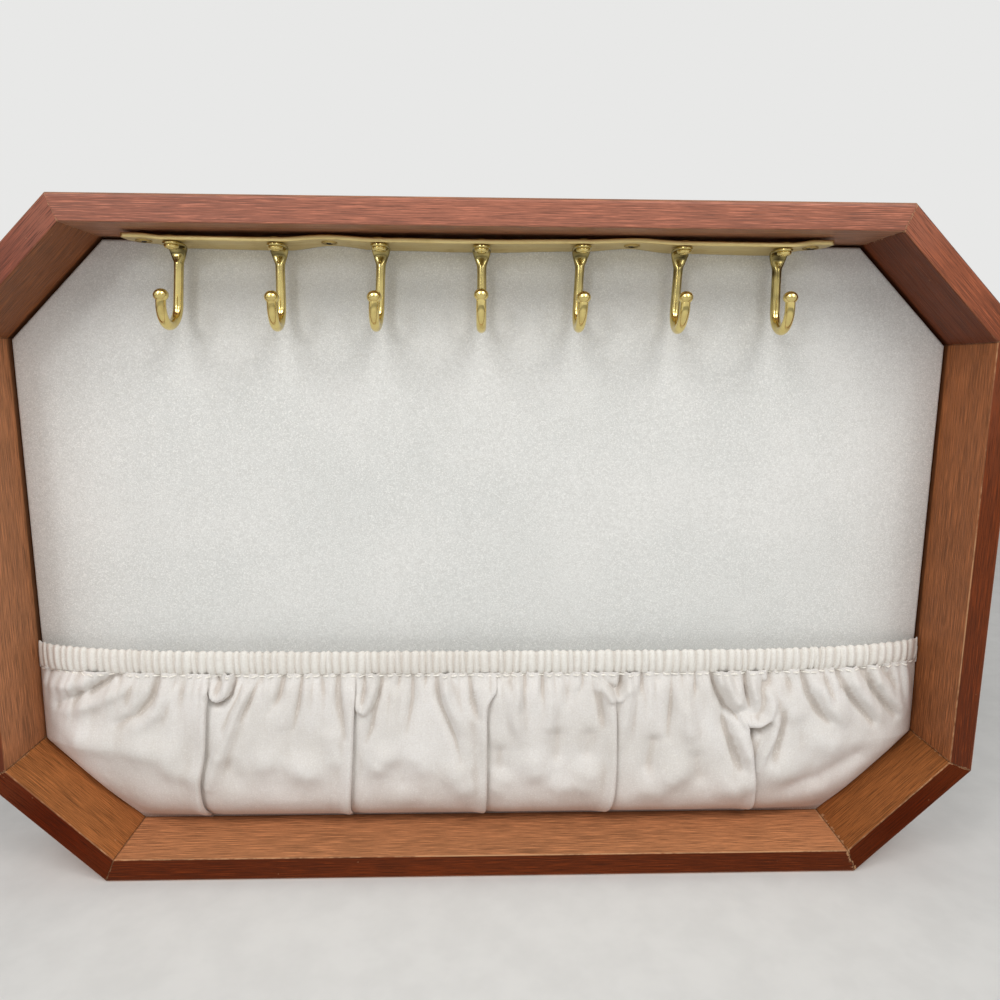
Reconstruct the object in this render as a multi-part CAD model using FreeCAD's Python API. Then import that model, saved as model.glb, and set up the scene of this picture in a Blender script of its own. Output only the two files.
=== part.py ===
import FreeCAD, Part
import math
import os

# Open eight-sided wooden jewellery case, upright, with a hook strip and a gathered pocket.
# Millimetres, +Z up, open front towards -Y, origin at the middle of the underside.
# Inside the case a place is given as across (X), out (forward from the liner's face)
# and up (above the inside floor), so every fitting follows the liner and the floor.

# Case: eight mitred members around a back panel
INNER_WIDTH = 320.0
INNER_HEIGHT = 208.0
CORNER_CUT = 33.0
WALL = 8.5
LINER_DEPTH = 26.0
RIM_OUTER_ROUND = 1.5
RIM_INNER_ROUND = 0.5
BACK_EDGE_ROUND = 0.8
PANEL_THICKNESS = 3.0
PANEL_RECESS = 0.5
PANEL_FIT = 0.25
RABBET_WIDTH = 4.0

# Square-cut pins that hold the back panel in its rabbet
PIN_WIDTH = 1.1
PIN_DEPTH = 9.0
PIN_HEAD_WIDTH = 2.3
PIN_HEAD_THICKNESS = 0.4
PIN_SPACING = 62.0

# Liner: a board wrapped in felt, turned in behind its edges
BOARD_THICKNESS = 2.0
FELT_THICKNESS = 0.8
FELT_HEM = 12.0
LINER_FIT = 0.7

# Hook strip: thin brass, drawn up to the wood at its screws and held off by the rivet heads
HOOK_COUNT = 7
STRIP_END_GAP = 12.5
STRIP_SIDE_SET = -1.8
STRIP_WIDTH = 13.0
STRIP_THICKNESS = 1.4
STRIP_BACK_GAP = 1.6
STRIP_OVERHANG = 16.7
STRIP_END_ROUND = 2.2
STRIP_STAND_OFF = 1.8
STRIP_END_LIFT = 0.3

# Strip screws: flat heads with a cross recess
SCREW_HEAD_RADIUS = 2.6
SCREW_SHANK_RADIUS = 1.4
SCREW_BITE = 6.0
SCREW_END_REACH = 10.0
SCREW_TIP_LENGTH = 2.0
NEAR_SCREW_PITCH_SHARE = 1.5
SLOT_WIDTH = 0.8
SLOT_LENGTH = 3.2
SLOT_DEPTH = 0.7

# Rivets: a low head above the strip and a flat rim below the hook's foot
RIVET_OUT = 11.8
RIVET_RADIUS = 1.3
RIVET_FIT = 0.05
RIVET_HEAD_RADIUS = 2.5
RIVET_HEAD_THICKNESS = 1.2
RIVET_RIM_RADIUS = 2.2
RIVET_RIM_THICKNESS = 1.0

# Hooks: a round rod, flattened into a foot at the top and ending in a ball
ROD_RADIUS = 1.7
BEND_STEPS = 8
BALL_STEPS = 5
HOOK_STEM_OUT = 5.6
HOOK_LENGTH = 27.5
HOOK_BEND_RADIUS = 6.8
HOOK_TIP_RISE = 3.0
HOOK_NECK_DROP = 5.4
BALL_RADIUS = 2.45
BALL_HEIGHT = 4.2
FOOT_WIDTH = 5.4
FOOT_THICKNESS = 1.1
FOOT_SEAT_GAP = 0.08

# Pocket: cloth gathered on an elastic, bulging forward and tucked in at the floor
STITCH_HEIGHT = 58.6
POCKET_SIDE_GAP = 0.5
POCKET_FLOOR_GAP = 0.3
POCKET_SEAT_GAP = 0.3
POCKET_BULGE = 13.0
POCKET_SIDE_ROUND = 12.0
CLOTH_THICKNESS = 0.8
FOLD_STEP = 1.2
FOLD_LIP = 1.5
BAY_CROWN = 2.0

# Elastic casing along the top of the pocket
CASING_HEIGHT = 8.8
CASING_THICKNESS = 2.8
CASING_SEAM_GAP = 0.05
CASING_MID_OUT = 9.0
CASING_END_RISE = 2.6
CASING_BEVEL = 0.9
RIB_PITCH = 3.2
RIB_DEPTH = 0.7
RIB_TOP_STEP = 0.25
ELASTIC_WIDTH = 6.0
ELASTIC_THICKNESS = 0.8
ELASTIC_FIT = 0.15

# One overrun for every cut
OVERRUN = 2.0

# Flats around each hook, rivet and rivet hole
ROUND_SIDES = 12

# Small differences of the hand-set hooks: shares of the strip's stand-off and of the tip's
# rise, the turn about the rivet, and the lean of the stem to the right
LIFT_SHARES = (0.9, 1.0, 0.9, 1.0, 0.8, 0.9, 1.0)
TIP_RISE_SHARES = (0.65, 0.6, 0.65, 1.0, 0.7, 0.85, 1.0)
HOOK_TURN_DEG = (-0.7, 2.3, -0.2, -1.0, 0.3, -0.8, -1.8)
HOOK_LEAN_DEG = (-4.6, -1.0, -3.1, 0.0, -2.1, -2.4, 1.1)

# Neck from foot to stem: shares of the way back, of the fall, of the change from the
# foot's width and thickness to the rod's, and of the quarter turn
NECK_SHARES = (
    (0.08, 0.0, 0.0, 0.0, 0.0), (0.38, 0.0, 0.0, 0.0, 0.0), (0.62, 0.06, 0.03, 0.1, 0.22),
    (0.84, 0.22, 0.12, 0.26, 0.6), (0.97, 0.58, 0.5, 0.62, 0.88), (1.0, 1.0, 1.0, 1.0, 1.0),
)
NECK_FIT_SHARE = 0.94

# Slant of the ball's last ring, where its flat top starts
BALL_TOP_DEG = 72.0

# Shares of the half width at which the five folds of the pocket hang
FOLD_SHARES = (-0.62, -0.305, 0.004, 0.288, 0.618)

# Pocket levels below the corner cut's height: height share, bulge share, fold share
LOW_LEVEL_SHARES = ((0.0, 0.16, 0.3), (0.07, 0.3, 0.45), (0.22, 0.62, 0.8), (0.5, 0.9, 1.0))

# Pocket levels between the corner cut's height and the stitch line
HIGH_LEVEL_SHARES = ((0.0, 1.0, 1.0), (0.55, 0.84, 0.8), (1.0, 0.66, 0.25))

# How squarely the pocket comes forward beside the walls, and its ends rise
POCKET_SQUARENESS = 6
END_RISE_POWER = 8
SECTIONS_PER_ELASTIC = 24

# Sizes that follow
PANEL_RABBET = PANEL_THICKNESS + PANEL_RECESS
CASE_DEPTH = LINER_DEPTH + FELT_THICKNESS + BOARD_THICKNESS + FELT_THICKNESS + PANEL_RABBET
FRONT_Y = -CASE_DEPTH / 2
BACK_Y = CASE_DEPTH / 2
LINER_Y = FRONT_Y + LINER_DEPTH
LEDGE_Y = BACK_Y - PANEL_RABBET
CENTRE_Z = WALL + INNER_HEIGHT / 2
STRIP_OUT = STRIP_BACK_GAP + STRIP_WIDTH / 2
STRIP_HALF = INNER_WIDTH / 2 - CORNER_CUT - STRIP_END_GAP
HOOK_SPAN = 2 * (STRIP_HALF - STRIP_OVERHANG)
HOOK_PITCH = HOOK_SPAN / (HOOK_COUNT - 1)
CASING_END_OUT = CASING_THICKNESS + POCKET_SEAT_GAP

MEMBER_NAMES = (
    "bottom_rail", "lower_right_corner", "right_stile", "upper_right_corner",
    "top_rail", "upper_left_corner", "left_stile", "lower_left_corner",
)

X_AXIS = FreeCAD.Vector(1, 0, 0)
Y_AXIS = FreeCAD.Vector(0, 1, 0)
UP = FreeCAD.Vector(0, 0, 1)


# A place inside the case, from the middle, the liner's face and the inside floor
def inside(across, out, up):
    return FreeCAD.Vector(across, LINER_Y - out, WALL + up)


# A place below the top rail, by its drop from the inside of that rail
def below_top(across, out, drop):
    return inside(across, out, INNER_HEIGHT - drop)


def extruded(points, direction):
    return Part.Face(Part.makePolygon(points + points[:1])).extrude(direction)


# Rod or hole of one radius from a point along a direction
def rod(start, direction, length, radius):
    return Part.makeCylinder(radius, length, start, direction)


# Ring of flats around a centre, from the directions and sizes of its two half axes
def flats_ring(centre, side, face):
    points = []
    for corner in range(ROUND_SIDES):
        angle = 2 * math.pi * (corner + 0.5) / ROUND_SIDES
        points.append(centre + side * math.cos(angle) + face * math.sin(angle))
    return points


def flat_face(corners):
    return Part.Face(Part.makePolygon(corners + corners[:1]))


# Solid through rings of flats: each flat runs on to the next ring as two flat triangles
def flats_solid(rings):
    faces = [flat_face(rings[0]), flat_face(rings[-1])]
    for ring, following_ring in zip(rings, rings[1:]):
        for corner in range(ROUND_SIDES):
            following = (corner + 1) % ROUND_SIDES
            start, far_end = ring[corner], following_ring[following]
            faces.append(flat_face([start, ring[following], far_end]))
            faces.append(flat_face([start, far_end, following_ring[corner]]))
    shell = Part.Shell(faces)
    shell.sewShape()
    return Part.Solid(shell)


# Upright disc or pin with flats all round
def flats_disc(place, height, radius):
    return extruded(flats_ring(place, X_AXIS * radius, Y_AXIS * radius), UP * height)


def fused(solids):
    return solids[0].multiFuse(solids[1:]).removeSplitter()


def largest_solid(shape):
    return max(shape.Solids, key=lambda solid: solid.Volume)


# Corners of the case's outline, moved outwards by a distance, from the floor's left end
def octagon(offset, y):
    half_width = INNER_WIDTH / 2 + offset
    half_height = INNER_HEIGHT / 2 + offset
    cut = CORNER_CUT + offset * (2 - math.sqrt(2))
    flat = half_width - cut
    side = half_height - cut
    corners = (
        (-flat, -half_height), (flat, -half_height), (half_width, -side), (half_width, side),
        (flat, half_height), (-flat, half_height), (-half_width, side), (-half_width, -side),
    )
    return [FreeCAD.Vector(x, y, CENTRE_Z + z) for x, z in corners]


def octagon_plate(offset, y_start, y_end):
    return extruded(octagon(offset, y_start), Y_AXIS * (y_end - y_start))


# Section of a member: rounded front edges, and a rabbet at the back for the panel
def member_profile(start, outward):
    def at(depth, y):
        return start + outward * depth + Y_AXIS * y

    def rounding(centre_depth, centre_y, radius, from_deg):
        places = []
        for step in (0, 45, 90):
            angle = math.radians(from_deg + step)
            places.append(at(centre_depth + radius * math.cos(angle),
                             centre_y + radius * math.sin(angle)))
        return places

    corners = (
        rounding(RIM_INNER_ROUND, FRONT_Y + RIM_INNER_ROUND, RIM_INNER_ROUND, 180),
        rounding(WALL - RIM_OUTER_ROUND, FRONT_Y + RIM_OUTER_ROUND, RIM_OUTER_ROUND, 270),
        rounding(WALL - BACK_EDGE_ROUND, BACK_Y - BACK_EDGE_ROUND, BACK_EDGE_ROUND, 0),
        [at(RABBET_WIDTH, BACK_Y)],
        [at(RABBET_WIDTH, LEDGE_Y)],
        [at(0, LEDGE_Y)],
    )
    edges = []
    for index, corner in enumerate(corners):
        if len(corner) > 1:
            edges.append(Part.Arc(*corner).toShape())
        following = corners[(index + 1) % len(corners)]
        edges.append(Part.LineSegment(corner[-1], following[0]).toShape())
    return Part.Face(Part.Wire(edges))


# Places of the panel pins along one member, in the middle of its rabbet ledge
def pin_places(index):
    ledge = octagon(RABBET_WIDTH / 2, LEDGE_Y)
    start = ledge[index]
    run = ledge[(index + 1) % len(ledge)] - start
    count = max(1, round(run.Length / PIN_SPACING))
    return [start + run * ((number + 0.5) / count) for number in range(count)]


# Square bar of one width, from a point backwards along Y
def square_bar(start, length, width):
    corner = start - FreeCAD.Vector(width / 2, 0, width / 2)
    return Part.makeBox(width, length, width, corner)


def pin_shank(place):
    return square_bar(place - Y_AXIS * PIN_DEPTH, PIN_DEPTH + PANEL_THICKNESS, PIN_WIDTH)


def panel_pin(place):
    head = square_bar(place + Y_AXIS * PANEL_THICKNESS, PIN_HEAD_THICKNESS, PIN_HEAD_WIDTH)
    return fused([pin_shank(place), head])


# One wooden member: its section run past both ends, then sawn along both mitres
def frame_member(index):
    inner = octagon(0, FRONT_Y - OVERRUN)
    outer = octagon(WALL, FRONT_Y - OVERRUN)
    following = (index + 1) % len(inner)
    along = (inner[following] - inner[index]).normalize()
    outward = Y_AXIS.cross(along)
    reach = WALL + OVERRUN
    start = inner[index] - along * reach
    start.y = 0
    length = inner[index].distanceToPoint(inner[following]) + 2 * reach
    blank = member_profile(start, outward).extrude(along * length)
    first_mitre = (outer[index] - inner[index]).normalize()
    last_mitre = (outer[following] - inner[following]).normalize()
    saw_lines = [
        inner[index] - first_mitre * OVERRUN,
        inner[following] - last_mitre * OVERRUN,
        outer[following] + last_mitre * OVERRUN,
        outer[index] + first_mitre * OVERRUN,
    ]
    member = blank.common(extruded(saw_lines, Y_AXIS * (CASE_DEPTH + 2 * OVERRUN)))
    holes = [pin_shank(place) for place in pin_places(index)]
    if MEMBER_NAMES[index] == "top_rail":
        holes += [screw_shank(across) for across in screw_places()]
    return largest_solid(member.cut(holes))


def all_pin_places():
    return [place for index in range(len(MEMBER_NAMES)) for place in pin_places(index)]


def back_panel():
    plate = octagon_plate(RABBET_WIDTH - PANEL_FIT, LEDGE_Y, LEDGE_Y + PANEL_THICKNESS)
    return largest_solid(plate.cut([pin_shank(place) for place in all_pin_places()]))


def liner_board():
    front = LINER_Y + FELT_THICKNESS
    return octagon_plate(-LINER_FIT - FELT_THICKNESS, front, front + BOARD_THICKNESS)


# Felt over the board's face and edges, with a hem turned in behind it
def liner_felt():
    wrap = octagon_plate(-LINER_FIT, LINER_Y, LEDGE_Y)
    hem_edge = -LINER_FIT - FELT_HEM
    window = octagon_plate(hem_edge, LINER_Y + FELT_THICKNESS, LEDGE_Y + OVERRUN)
    return largest_solid(wrap.cut([liner_board(), window]))


def hook_places():
    first = STRIP_SIDE_SET - HOOK_SPAN / 2
    return [first + HOOK_PITCH * number for number in range(HOOK_COUNT)]


# Two screws between hooks, a pitch and a half from the middle, and one near each end
def screw_places():
    near = HOOK_PITCH * NEAR_SCREW_PITCH_SHARE
    far = HOOK_SPAN / 2 + SCREW_END_REACH
    return [STRIP_SIDE_SET + side for side in (-far, -near, near, far)]


def strip_lift(number):
    return STRIP_STAND_OFF * LIFT_SHARES[number % len(LIFT_SHARES)]


# The strip's top edge from end to end: touching at screws, held off and level at rivets
def strip_wave():
    places = [(STRIP_SIDE_SET + side, STRIP_END_LIFT) for side in (-STRIP_HALF, STRIP_HALF)]
    seats = [(across, 0, SCREW_HEAD_RADIUS) for across in screw_places()]
    seats += [(across, strip_lift(number), RIVET_HEAD_RADIUS)
              for number, across in enumerate(hook_places())]
    for across, lift, reach in seats:
        places += [(across - reach, lift), (across + reach, lift)]
    return sorted(places)


# The wave's line at a drop below its top edge: level at every screw, hook and end
def wave_edges(drop):
    front = STRIP_BACK_GAP + STRIP_WIDTH
    places = [below_top(across, front, lift + drop) for across, lift in strip_wave()]
    edges = []
    for start, end in zip(places, places[1:]):
        third = FreeCAD.Vector((end.x - start.x) / 3, 0, 0)
        curve = Part.BezierCurve()
        curve.setPoles([start, start + third, end - third, end])
        edges.append(curve.toShape())
    return edges


# The strip: a wavy ribbon, trimmed to rounded ends, with rivet and screw holes
def hook_strip():
    top = wave_edges(0)
    bottom = wave_edges(STRIP_THICKNESS)
    near_end = Part.LineSegment(top[0].Vertexes[0].Point, bottom[0].Vertexes[0].Point)
    far_end = Part.LineSegment(top[-1].Vertexes[-1].Point, bottom[-1].Vertexes[-1].Point)
    edges = top + bottom + [near_end.toShape(), far_end.toShape()]
    section = Part.Face(Part.Wire(Part.__sortEdges__(edges)))
    ribbon = section.extrude(Y_AXIS * STRIP_WIDTH)
    depth = STRIP_STAND_OFF + STRIP_THICKNESS + 2 * OVERRUN
    front = STRIP_BACK_GAP + STRIP_WIDTH
    corner = below_top(STRIP_SIDE_SET - STRIP_HALF, front, depth - OVERRUN)
    blank = Part.makeBox(2 * STRIP_HALF, STRIP_WIDTH, depth, corner)
    upright = [edge for edge in blank.Edges if abs(edge.tangentAt(0).z) > 0.5]
    outline = blank.makeFillet(STRIP_END_ROUND, upright)
    holes = [rivet_hole(number) for number in range(HOOK_COUNT)]
    holes += [screw_body(across) for across in screw_places()]
    return largest_solid(ribbon.common(outline).cut(holes))


def rivet_hole(number):
    place = below_top(hook_places()[number], RIVET_OUT, HOOK_LENGTH)
    return flats_disc(place, HOOK_LENGTH, RIVET_RADIUS + RIVET_FIT)


def screw_shank(across):
    return rod(below_top(across, STRIP_OUT, OVERRUN), UP, SCREW_BITE + OVERRUN, SCREW_SHANK_RADIUS)


# Screw from its flat head, level with the strip's underside, to its pointed end
def screw_body(across):
    seat = below_top(across, STRIP_OUT, STRIP_THICKNESS)
    cone = SCREW_HEAD_RADIUS - SCREW_SHANK_RADIUS
    head = Part.makeCone(SCREW_HEAD_RADIUS, SCREW_SHANK_RADIUS, cone, seat, UP)
    straight = STRIP_THICKNESS + SCREW_BITE - SCREW_TIP_LENGTH
    shank = rod(seat, UP, straight, SCREW_SHANK_RADIUS)
    tip = Part.makeCone(SCREW_SHANK_RADIUS, 0, SCREW_TIP_LENGTH, seat + UP * straight, UP)
    return fused([head, shank, tip])


def strip_screw(across):
    seat = below_top(across, STRIP_OUT, STRIP_THICKNESS)
    cross = []
    for length, width in ((SLOT_LENGTH, SLOT_WIDTH), (SLOT_WIDTH, SLOT_LENGTH)):
        corner = seat - FreeCAD.Vector(length / 2, width / 2, OVERRUN)
        cross.append(Part.makeBox(length, width, SLOT_DEPTH + OVERRUN, corner))
    return largest_solid(screw_body(across).cut(cross))


# Drop of the strip's underside at one hook
def strip_underside(number):
    return strip_lift(number) + STRIP_THICKNESS


def hook_rivet(number):
    across = hook_places()[number]
    rim_drop = strip_underside(number) + FOOT_SEAT_GAP + FOOT_THICKNESS + RIVET_RIM_THICKNESS
    rim_place = below_top(across, RIVET_OUT, rim_drop)
    head_place = below_top(across, RIVET_OUT, strip_lift(number))
    rim = flats_disc(rim_place, RIVET_RIM_THICKNESS, RIVET_RIM_RADIUS)
    shank = flats_disc(rim_place, head_place.z - rim_place.z, RIVET_RADIUS)
    head = flats_disc(head_place, RIVET_HEAD_THICKNESS, RIVET_HEAD_RADIUS)
    return fused([rim, shank, head])


# Section across the hook's line: heading 0 goes back, 90 down, 180 forward and 270 up
def hook_section(across, out, drop, heading_deg, half_width, half_thickness):
    heading = math.radians(heading_deg)
    face = FreeCAD.Vector(0, -math.sin(heading), -math.cos(heading)) * half_thickness
    return flats_ring(below_top(across, out, drop), X_AXIS * half_width, face)


# The flat foot bends over, narrows and thickens into the round stem
def neck_sections(across, foot_middle_drop):
    foot_half_width = NECK_FIT_SHARE * FOOT_WIDTH / 2
    foot_half_thickness = NECK_FIT_SHARE * FOOT_THICKNESS / 2
    sections = []
    for back, fall, width, thickness, lean in NECK_SHARES:
        sections.append(hook_section(
            across,
            RIVET_OUT + (HOOK_STEM_OUT - RIVET_OUT) * back,
            foot_middle_drop + HOOK_NECK_DROP * fall,
            90 * lean,
            foot_half_width + (ROD_RADIUS - foot_half_width) * width,
            foot_half_thickness + (ROD_RADIUS - foot_half_thickness) * thickness,
        ))
    return sections


# Half a turn from the foot of the stem, forward and up
def bend_sections(across, bend_drop):
    sections = []
    for step in range(BEND_STEPS + 1):
        turned_deg = 180 * step / BEND_STEPS
        turned = math.radians(turned_deg)
        out = HOOK_STEM_OUT + HOOK_BEND_RADIUS * (1 - math.cos(turned))
        drop = bend_drop + HOOK_BEND_RADIUS * math.sin(turned)
        sections.append(hook_section(across, out, drop, 90 + turned_deg, ROD_RADIUS, ROD_RADIUS))
    return sections


# Flattened ball, from the ring where the rod enters it to its small flat top
def ball_sections(across, out, ball_drop):
    first_deg = -math.degrees(math.acos(ROD_RADIUS / BALL_RADIUS))
    sections = []
    for step in range(BALL_STEPS + 1):
        slant = math.radians(first_deg + (BALL_TOP_DEG - first_deg) * step / BALL_STEPS)
        radius = BALL_RADIUS * math.cos(slant)
        drop = ball_drop - BALL_HEIGHT / 2 * math.sin(slant)
        sections.append(hook_section(across, out, drop, 270, radius, radius))
    return sections


# The further below the foot, the further a leaning stem stands aside
def leaned(section, foot_place, lean_deg):
    slope = math.tan(math.radians(lean_deg))
    return [point + X_AXIS * (slope * max(0, foot_place.z - point.z)) for point in section]


# One hook: a single run from foot to ball, with the foot's round plate
def hook(number):
    across = hook_places()[number]
    foot_drop = strip_underside(number) + FOOT_SEAT_GAP
    bend_drop = strip_underside(number) + HOOK_LENGTH - ROD_RADIUS - HOOK_BEND_RADIUS
    tip_out = HOOK_STEM_OUT + 2 * HOOK_BEND_RADIUS
    tip_rise = HOOK_TIP_RISE * TIP_RISE_SHARES[number % len(TIP_RISE_SHARES)]
    sections = neck_sections(across, foot_drop + FOOT_THICKNESS / 2)
    sections += bend_sections(across, bend_drop)
    sections += ball_sections(across, tip_out, bend_drop - tip_rise)
    foot_place = below_top(across, RIVET_OUT, foot_drop + FOOT_THICKNESS)
    foot = flats_disc(foot_place, FOOT_THICKNESS, FOOT_WIDTH / 2)
    lean_deg = HOOK_LEAN_DEG[number % len(HOOK_LEAN_DEG)]
    body = flats_solid([leaned(section, foot_place, lean_deg) for section in sections]).fuse(foot)
    body.rotate(foot_place, UP, HOOK_TURN_DEG[number % len(HOOK_TURN_DEG)])
    return largest_solid(body.cut(rivet_hole(number)))


# How far the pocket's front stands out at a place across, from its crest in the middle
def stand_out(across, half_width, crest, edge):
    share = min(1, abs(across) / half_width)
    return edge + (crest - edge) * math.sqrt(1 - share ** POCKET_SQUARENESS)


def pocket_half_width(up):
    inset = max(0, CORNER_CUT - up)
    return INNER_WIDTH / 2 - inset - POCKET_SIDE_GAP


# Level section of the pocket cloth, as one thin closed outline open towards the liner
def pocket_section(up, crest, fold_share):
    half = pocket_half_width(up)
    edge = POCKET_SEAT_GAP + CLOTH_THICKNESS
    step = FOLD_STEP * fold_share
    lip = FOLD_LIP * fold_share
    crown = BAY_CROWN * fold_share

    def front(across, extra):
        return across, stand_out(across, half, crest, edge) + extra

    shoulder = half - POCKET_SIDE_ROUND
    stops = [[(-half, POCKET_SEAT_GAP)], [front(-shoulder, 0)]]
    for fold in FOLD_SHARES:
        place = fold * INNER_WIDTH / 2
        proud = front(place + lip, step)
        tucked = front(place, -step)
        stops.append([proud, tucked])
    stops += [[front(shoulder, 0)], [(half, POCKET_SEAT_GAP)]]

    def bay_edge(start, end, inset):
        middle = (start[0] + end[0]) / 2
        lift = stand_out(middle, half, crest, edge) + crown - inset
        lowest = (start[1] + end[1]) / 2 + crown / 2
        points = [start, (middle, max(lift, lowest)), end]
        return Part.Arc(*[inside(x, out, up) for x, out in points]).toShape()

    def line_edge(start, end):
        return Part.LineSegment(inside(*start, up), inside(*end, up)).toShape()

    def inner(point, shift):
        return point[0] + shift, max(point[1] - CLOTH_THICKNESS, POCKET_SEAT_GAP)

    thick = CLOTH_THICKNESS
    back_stops = [[(-half + thick, POCKET_SEAT_GAP)], [inner(stops[1][0], thick / 4)]]
    for proud, tucked in stops[2:-2]:
        back_stops.append([inner(proud, -lip - thick), inner(tucked, thick / 4)])
    back_stops += [[inner(stops[-2][0], -thick / 4)], [(half - thick, POCKET_SEAT_GAP)]]

    def outline(chain, inset):
        edges = []
        for first, second in zip(chain, chain[1:]):
            if len(first) > 1:
                edges.append(line_edge(first[0], first[1]))
            edges.append(bay_edge(first[-1], second[0], inset))
        return edges

    edges = outline(stops, 0)
    edges.append(line_edge(stops[-1][0], back_stops[-1][0]))
    edges += outline(back_stops, thick)
    edges.append(line_edge(stops[0][0], back_stops[0][0]))
    return Part.Wire(Part.__sortEdges__(edges))


def pocket_cloth():
    sections = []
    low_rise = CORNER_CUT - POCKET_FLOOR_GAP
    high_rise = STITCH_HEIGHT - CORNER_CUT
    for height, bulge, fold in LOW_LEVEL_SHARES:
        sections.append(pocket_section(POCKET_FLOOR_GAP + low_rise * height,
                                       POCKET_BULGE * bulge, fold))
    for height, bulge, fold in HIGH_LEVEL_SHARES:
        sections.append(pocket_section(CORNER_CUT + high_rise * height,
                                       POCKET_BULGE * bulge, fold))
    return Part.makeLoft(sections, True, True)


# The casing's front line and top edge at a place across
def casing_front(across):
    return stand_out(across, pocket_half_width(STITCH_HEIGHT), CASING_MID_OUT, CASING_END_OUT)


def casing_top(across):
    share = abs(across) / pocket_half_width(STITCH_HEIGHT)
    return STITCH_HEIGHT + CASING_HEIGHT + CASING_END_RISE * share ** END_RISE_POWER


# Upright section of the casing at one rib's crest or at the valley beside it
def casing_section(across, is_crest):
    front = casing_front(across) - (0 if is_crest else RIB_DEPTH)
    back = casing_front(across) - CASING_THICKNESS
    top = casing_top(across) - (0 if is_crest else RIB_TOP_STEP)
    bottom = STITCH_HEIGHT + CASING_SEAM_GAP
    outline = (
        (back, bottom), (front, bottom), (front, top - CASING_BEVEL),
        (front - CASING_BEVEL, top), (back, top),
    )
    points = [inside(across, out, up) for out, up in outline]
    return Part.makePolygon(points + points[:1])


# Flat section of the elastic, or of the slot that it runs in
def elastic_section(across, fit):
    back = casing_front(across) - CASING_THICKNESS
    middle = back + (CASING_THICKNESS - RIB_DEPTH) / 2
    half = ELASTIC_THICKNESS / 2 + fit
    centre_up = STITCH_HEIGHT + CASING_HEIGHT / 2
    half_width = ELASTIC_WIDTH / 2 + fit
    outline = ((middle - half, centre_up - half_width), (middle + half, centre_up - half_width),
               (middle + half, centre_up + half_width), (middle - half, centre_up + half_width))
    points = [inside(across, out, up) for out, up in outline]
    return Part.makePolygon(points + points[:1])


def rib_count():
    return round(2 * pocket_half_width(STITCH_HEIGHT) / RIB_PITCH)


def elastic_run(fit):
    reach = pocket_half_width(STITCH_HEIGHT)
    ribs_each = max(1, round(rib_count() / SECTIONS_PER_ELASTIC))
    pitch = 2 * reach / rib_count()
    places = [-reach + pitch * number for number in range(0, rib_count(), ribs_each)] + [reach]
    return Part.makeLoft([elastic_section(across, fit) for across in places], True, True)


# Gathered casing: a crest and a valley for every rib, with a slot for the elastic
def pocket_casing():
    reach = pocket_half_width(STITCH_HEIGHT)
    half_pitch = reach / rib_count()
    sections = [casing_section(-reach + half_pitch * number, number % 2 == 1)
                for number in range(2 * rib_count() + 1)]
    sleeve = Part.makeLoft(sections, True, True)
    return largest_solid(sleeve.cut(elastic_run(ELASTIC_FIT)))


def elastic_band():
    return elastic_run(0)


def save(name, shape):
    shape.exportStep(os.path.join("parts", name + ".step"))


def main():
    os.makedirs("parts", exist_ok=True)
    for index, name in enumerate(MEMBER_NAMES):
        save(name, frame_member(index))
    save("back_panel", back_panel())
    save("panel_pins", Part.makeCompound([panel_pin(place) for place in all_pin_places()]))
    save("liner_board", liner_board())
    save("liner_felt", liner_felt())
    save("hook_strip", hook_strip())
    save("strip_screws", Part.makeCompound([strip_screw(across) for across in screw_places()]))
    rivets = [hook_rivet(number) for number in range(HOOK_COUNT)]
    save("hook_rivets", Part.makeCompound(rivets))
    for number in range(HOOK_COUNT):
        save("hook_%d" % (number + 1), hook(number))
    save("pocket_cloth", pocket_cloth())
    save("pocket_casing", pocket_casing())
    save("elastic_band", elastic_band())


main()
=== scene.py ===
import random
from math import acos, atan2, copysign, cos, degrees, exp, hypot, pi, radians, sin, sqrt, tan

import bpy
from mathutils import Matrix, Vector, noise


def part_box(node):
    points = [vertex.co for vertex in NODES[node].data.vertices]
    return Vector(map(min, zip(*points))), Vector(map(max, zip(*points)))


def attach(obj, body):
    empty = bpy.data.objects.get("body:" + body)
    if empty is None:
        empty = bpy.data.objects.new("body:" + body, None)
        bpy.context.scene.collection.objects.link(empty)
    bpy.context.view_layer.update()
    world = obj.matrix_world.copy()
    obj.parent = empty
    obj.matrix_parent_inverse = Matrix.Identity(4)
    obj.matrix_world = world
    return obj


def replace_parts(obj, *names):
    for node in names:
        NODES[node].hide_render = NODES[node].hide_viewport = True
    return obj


# Open wooden jewellery case: hook strip under the top rail, gathered pocket along the floor.
# Sizes are in millimetres and become metres in inside(); places come from the frame's boxes.
MM = 0.001

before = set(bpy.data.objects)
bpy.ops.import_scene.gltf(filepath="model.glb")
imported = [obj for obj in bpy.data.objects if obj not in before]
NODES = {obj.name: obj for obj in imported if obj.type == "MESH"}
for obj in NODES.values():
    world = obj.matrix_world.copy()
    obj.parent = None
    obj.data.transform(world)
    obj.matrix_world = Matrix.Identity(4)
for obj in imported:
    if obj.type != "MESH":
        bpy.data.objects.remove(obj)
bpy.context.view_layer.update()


def node_box(name):
    return [[value / MM for value in corner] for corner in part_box(name)]


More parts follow.
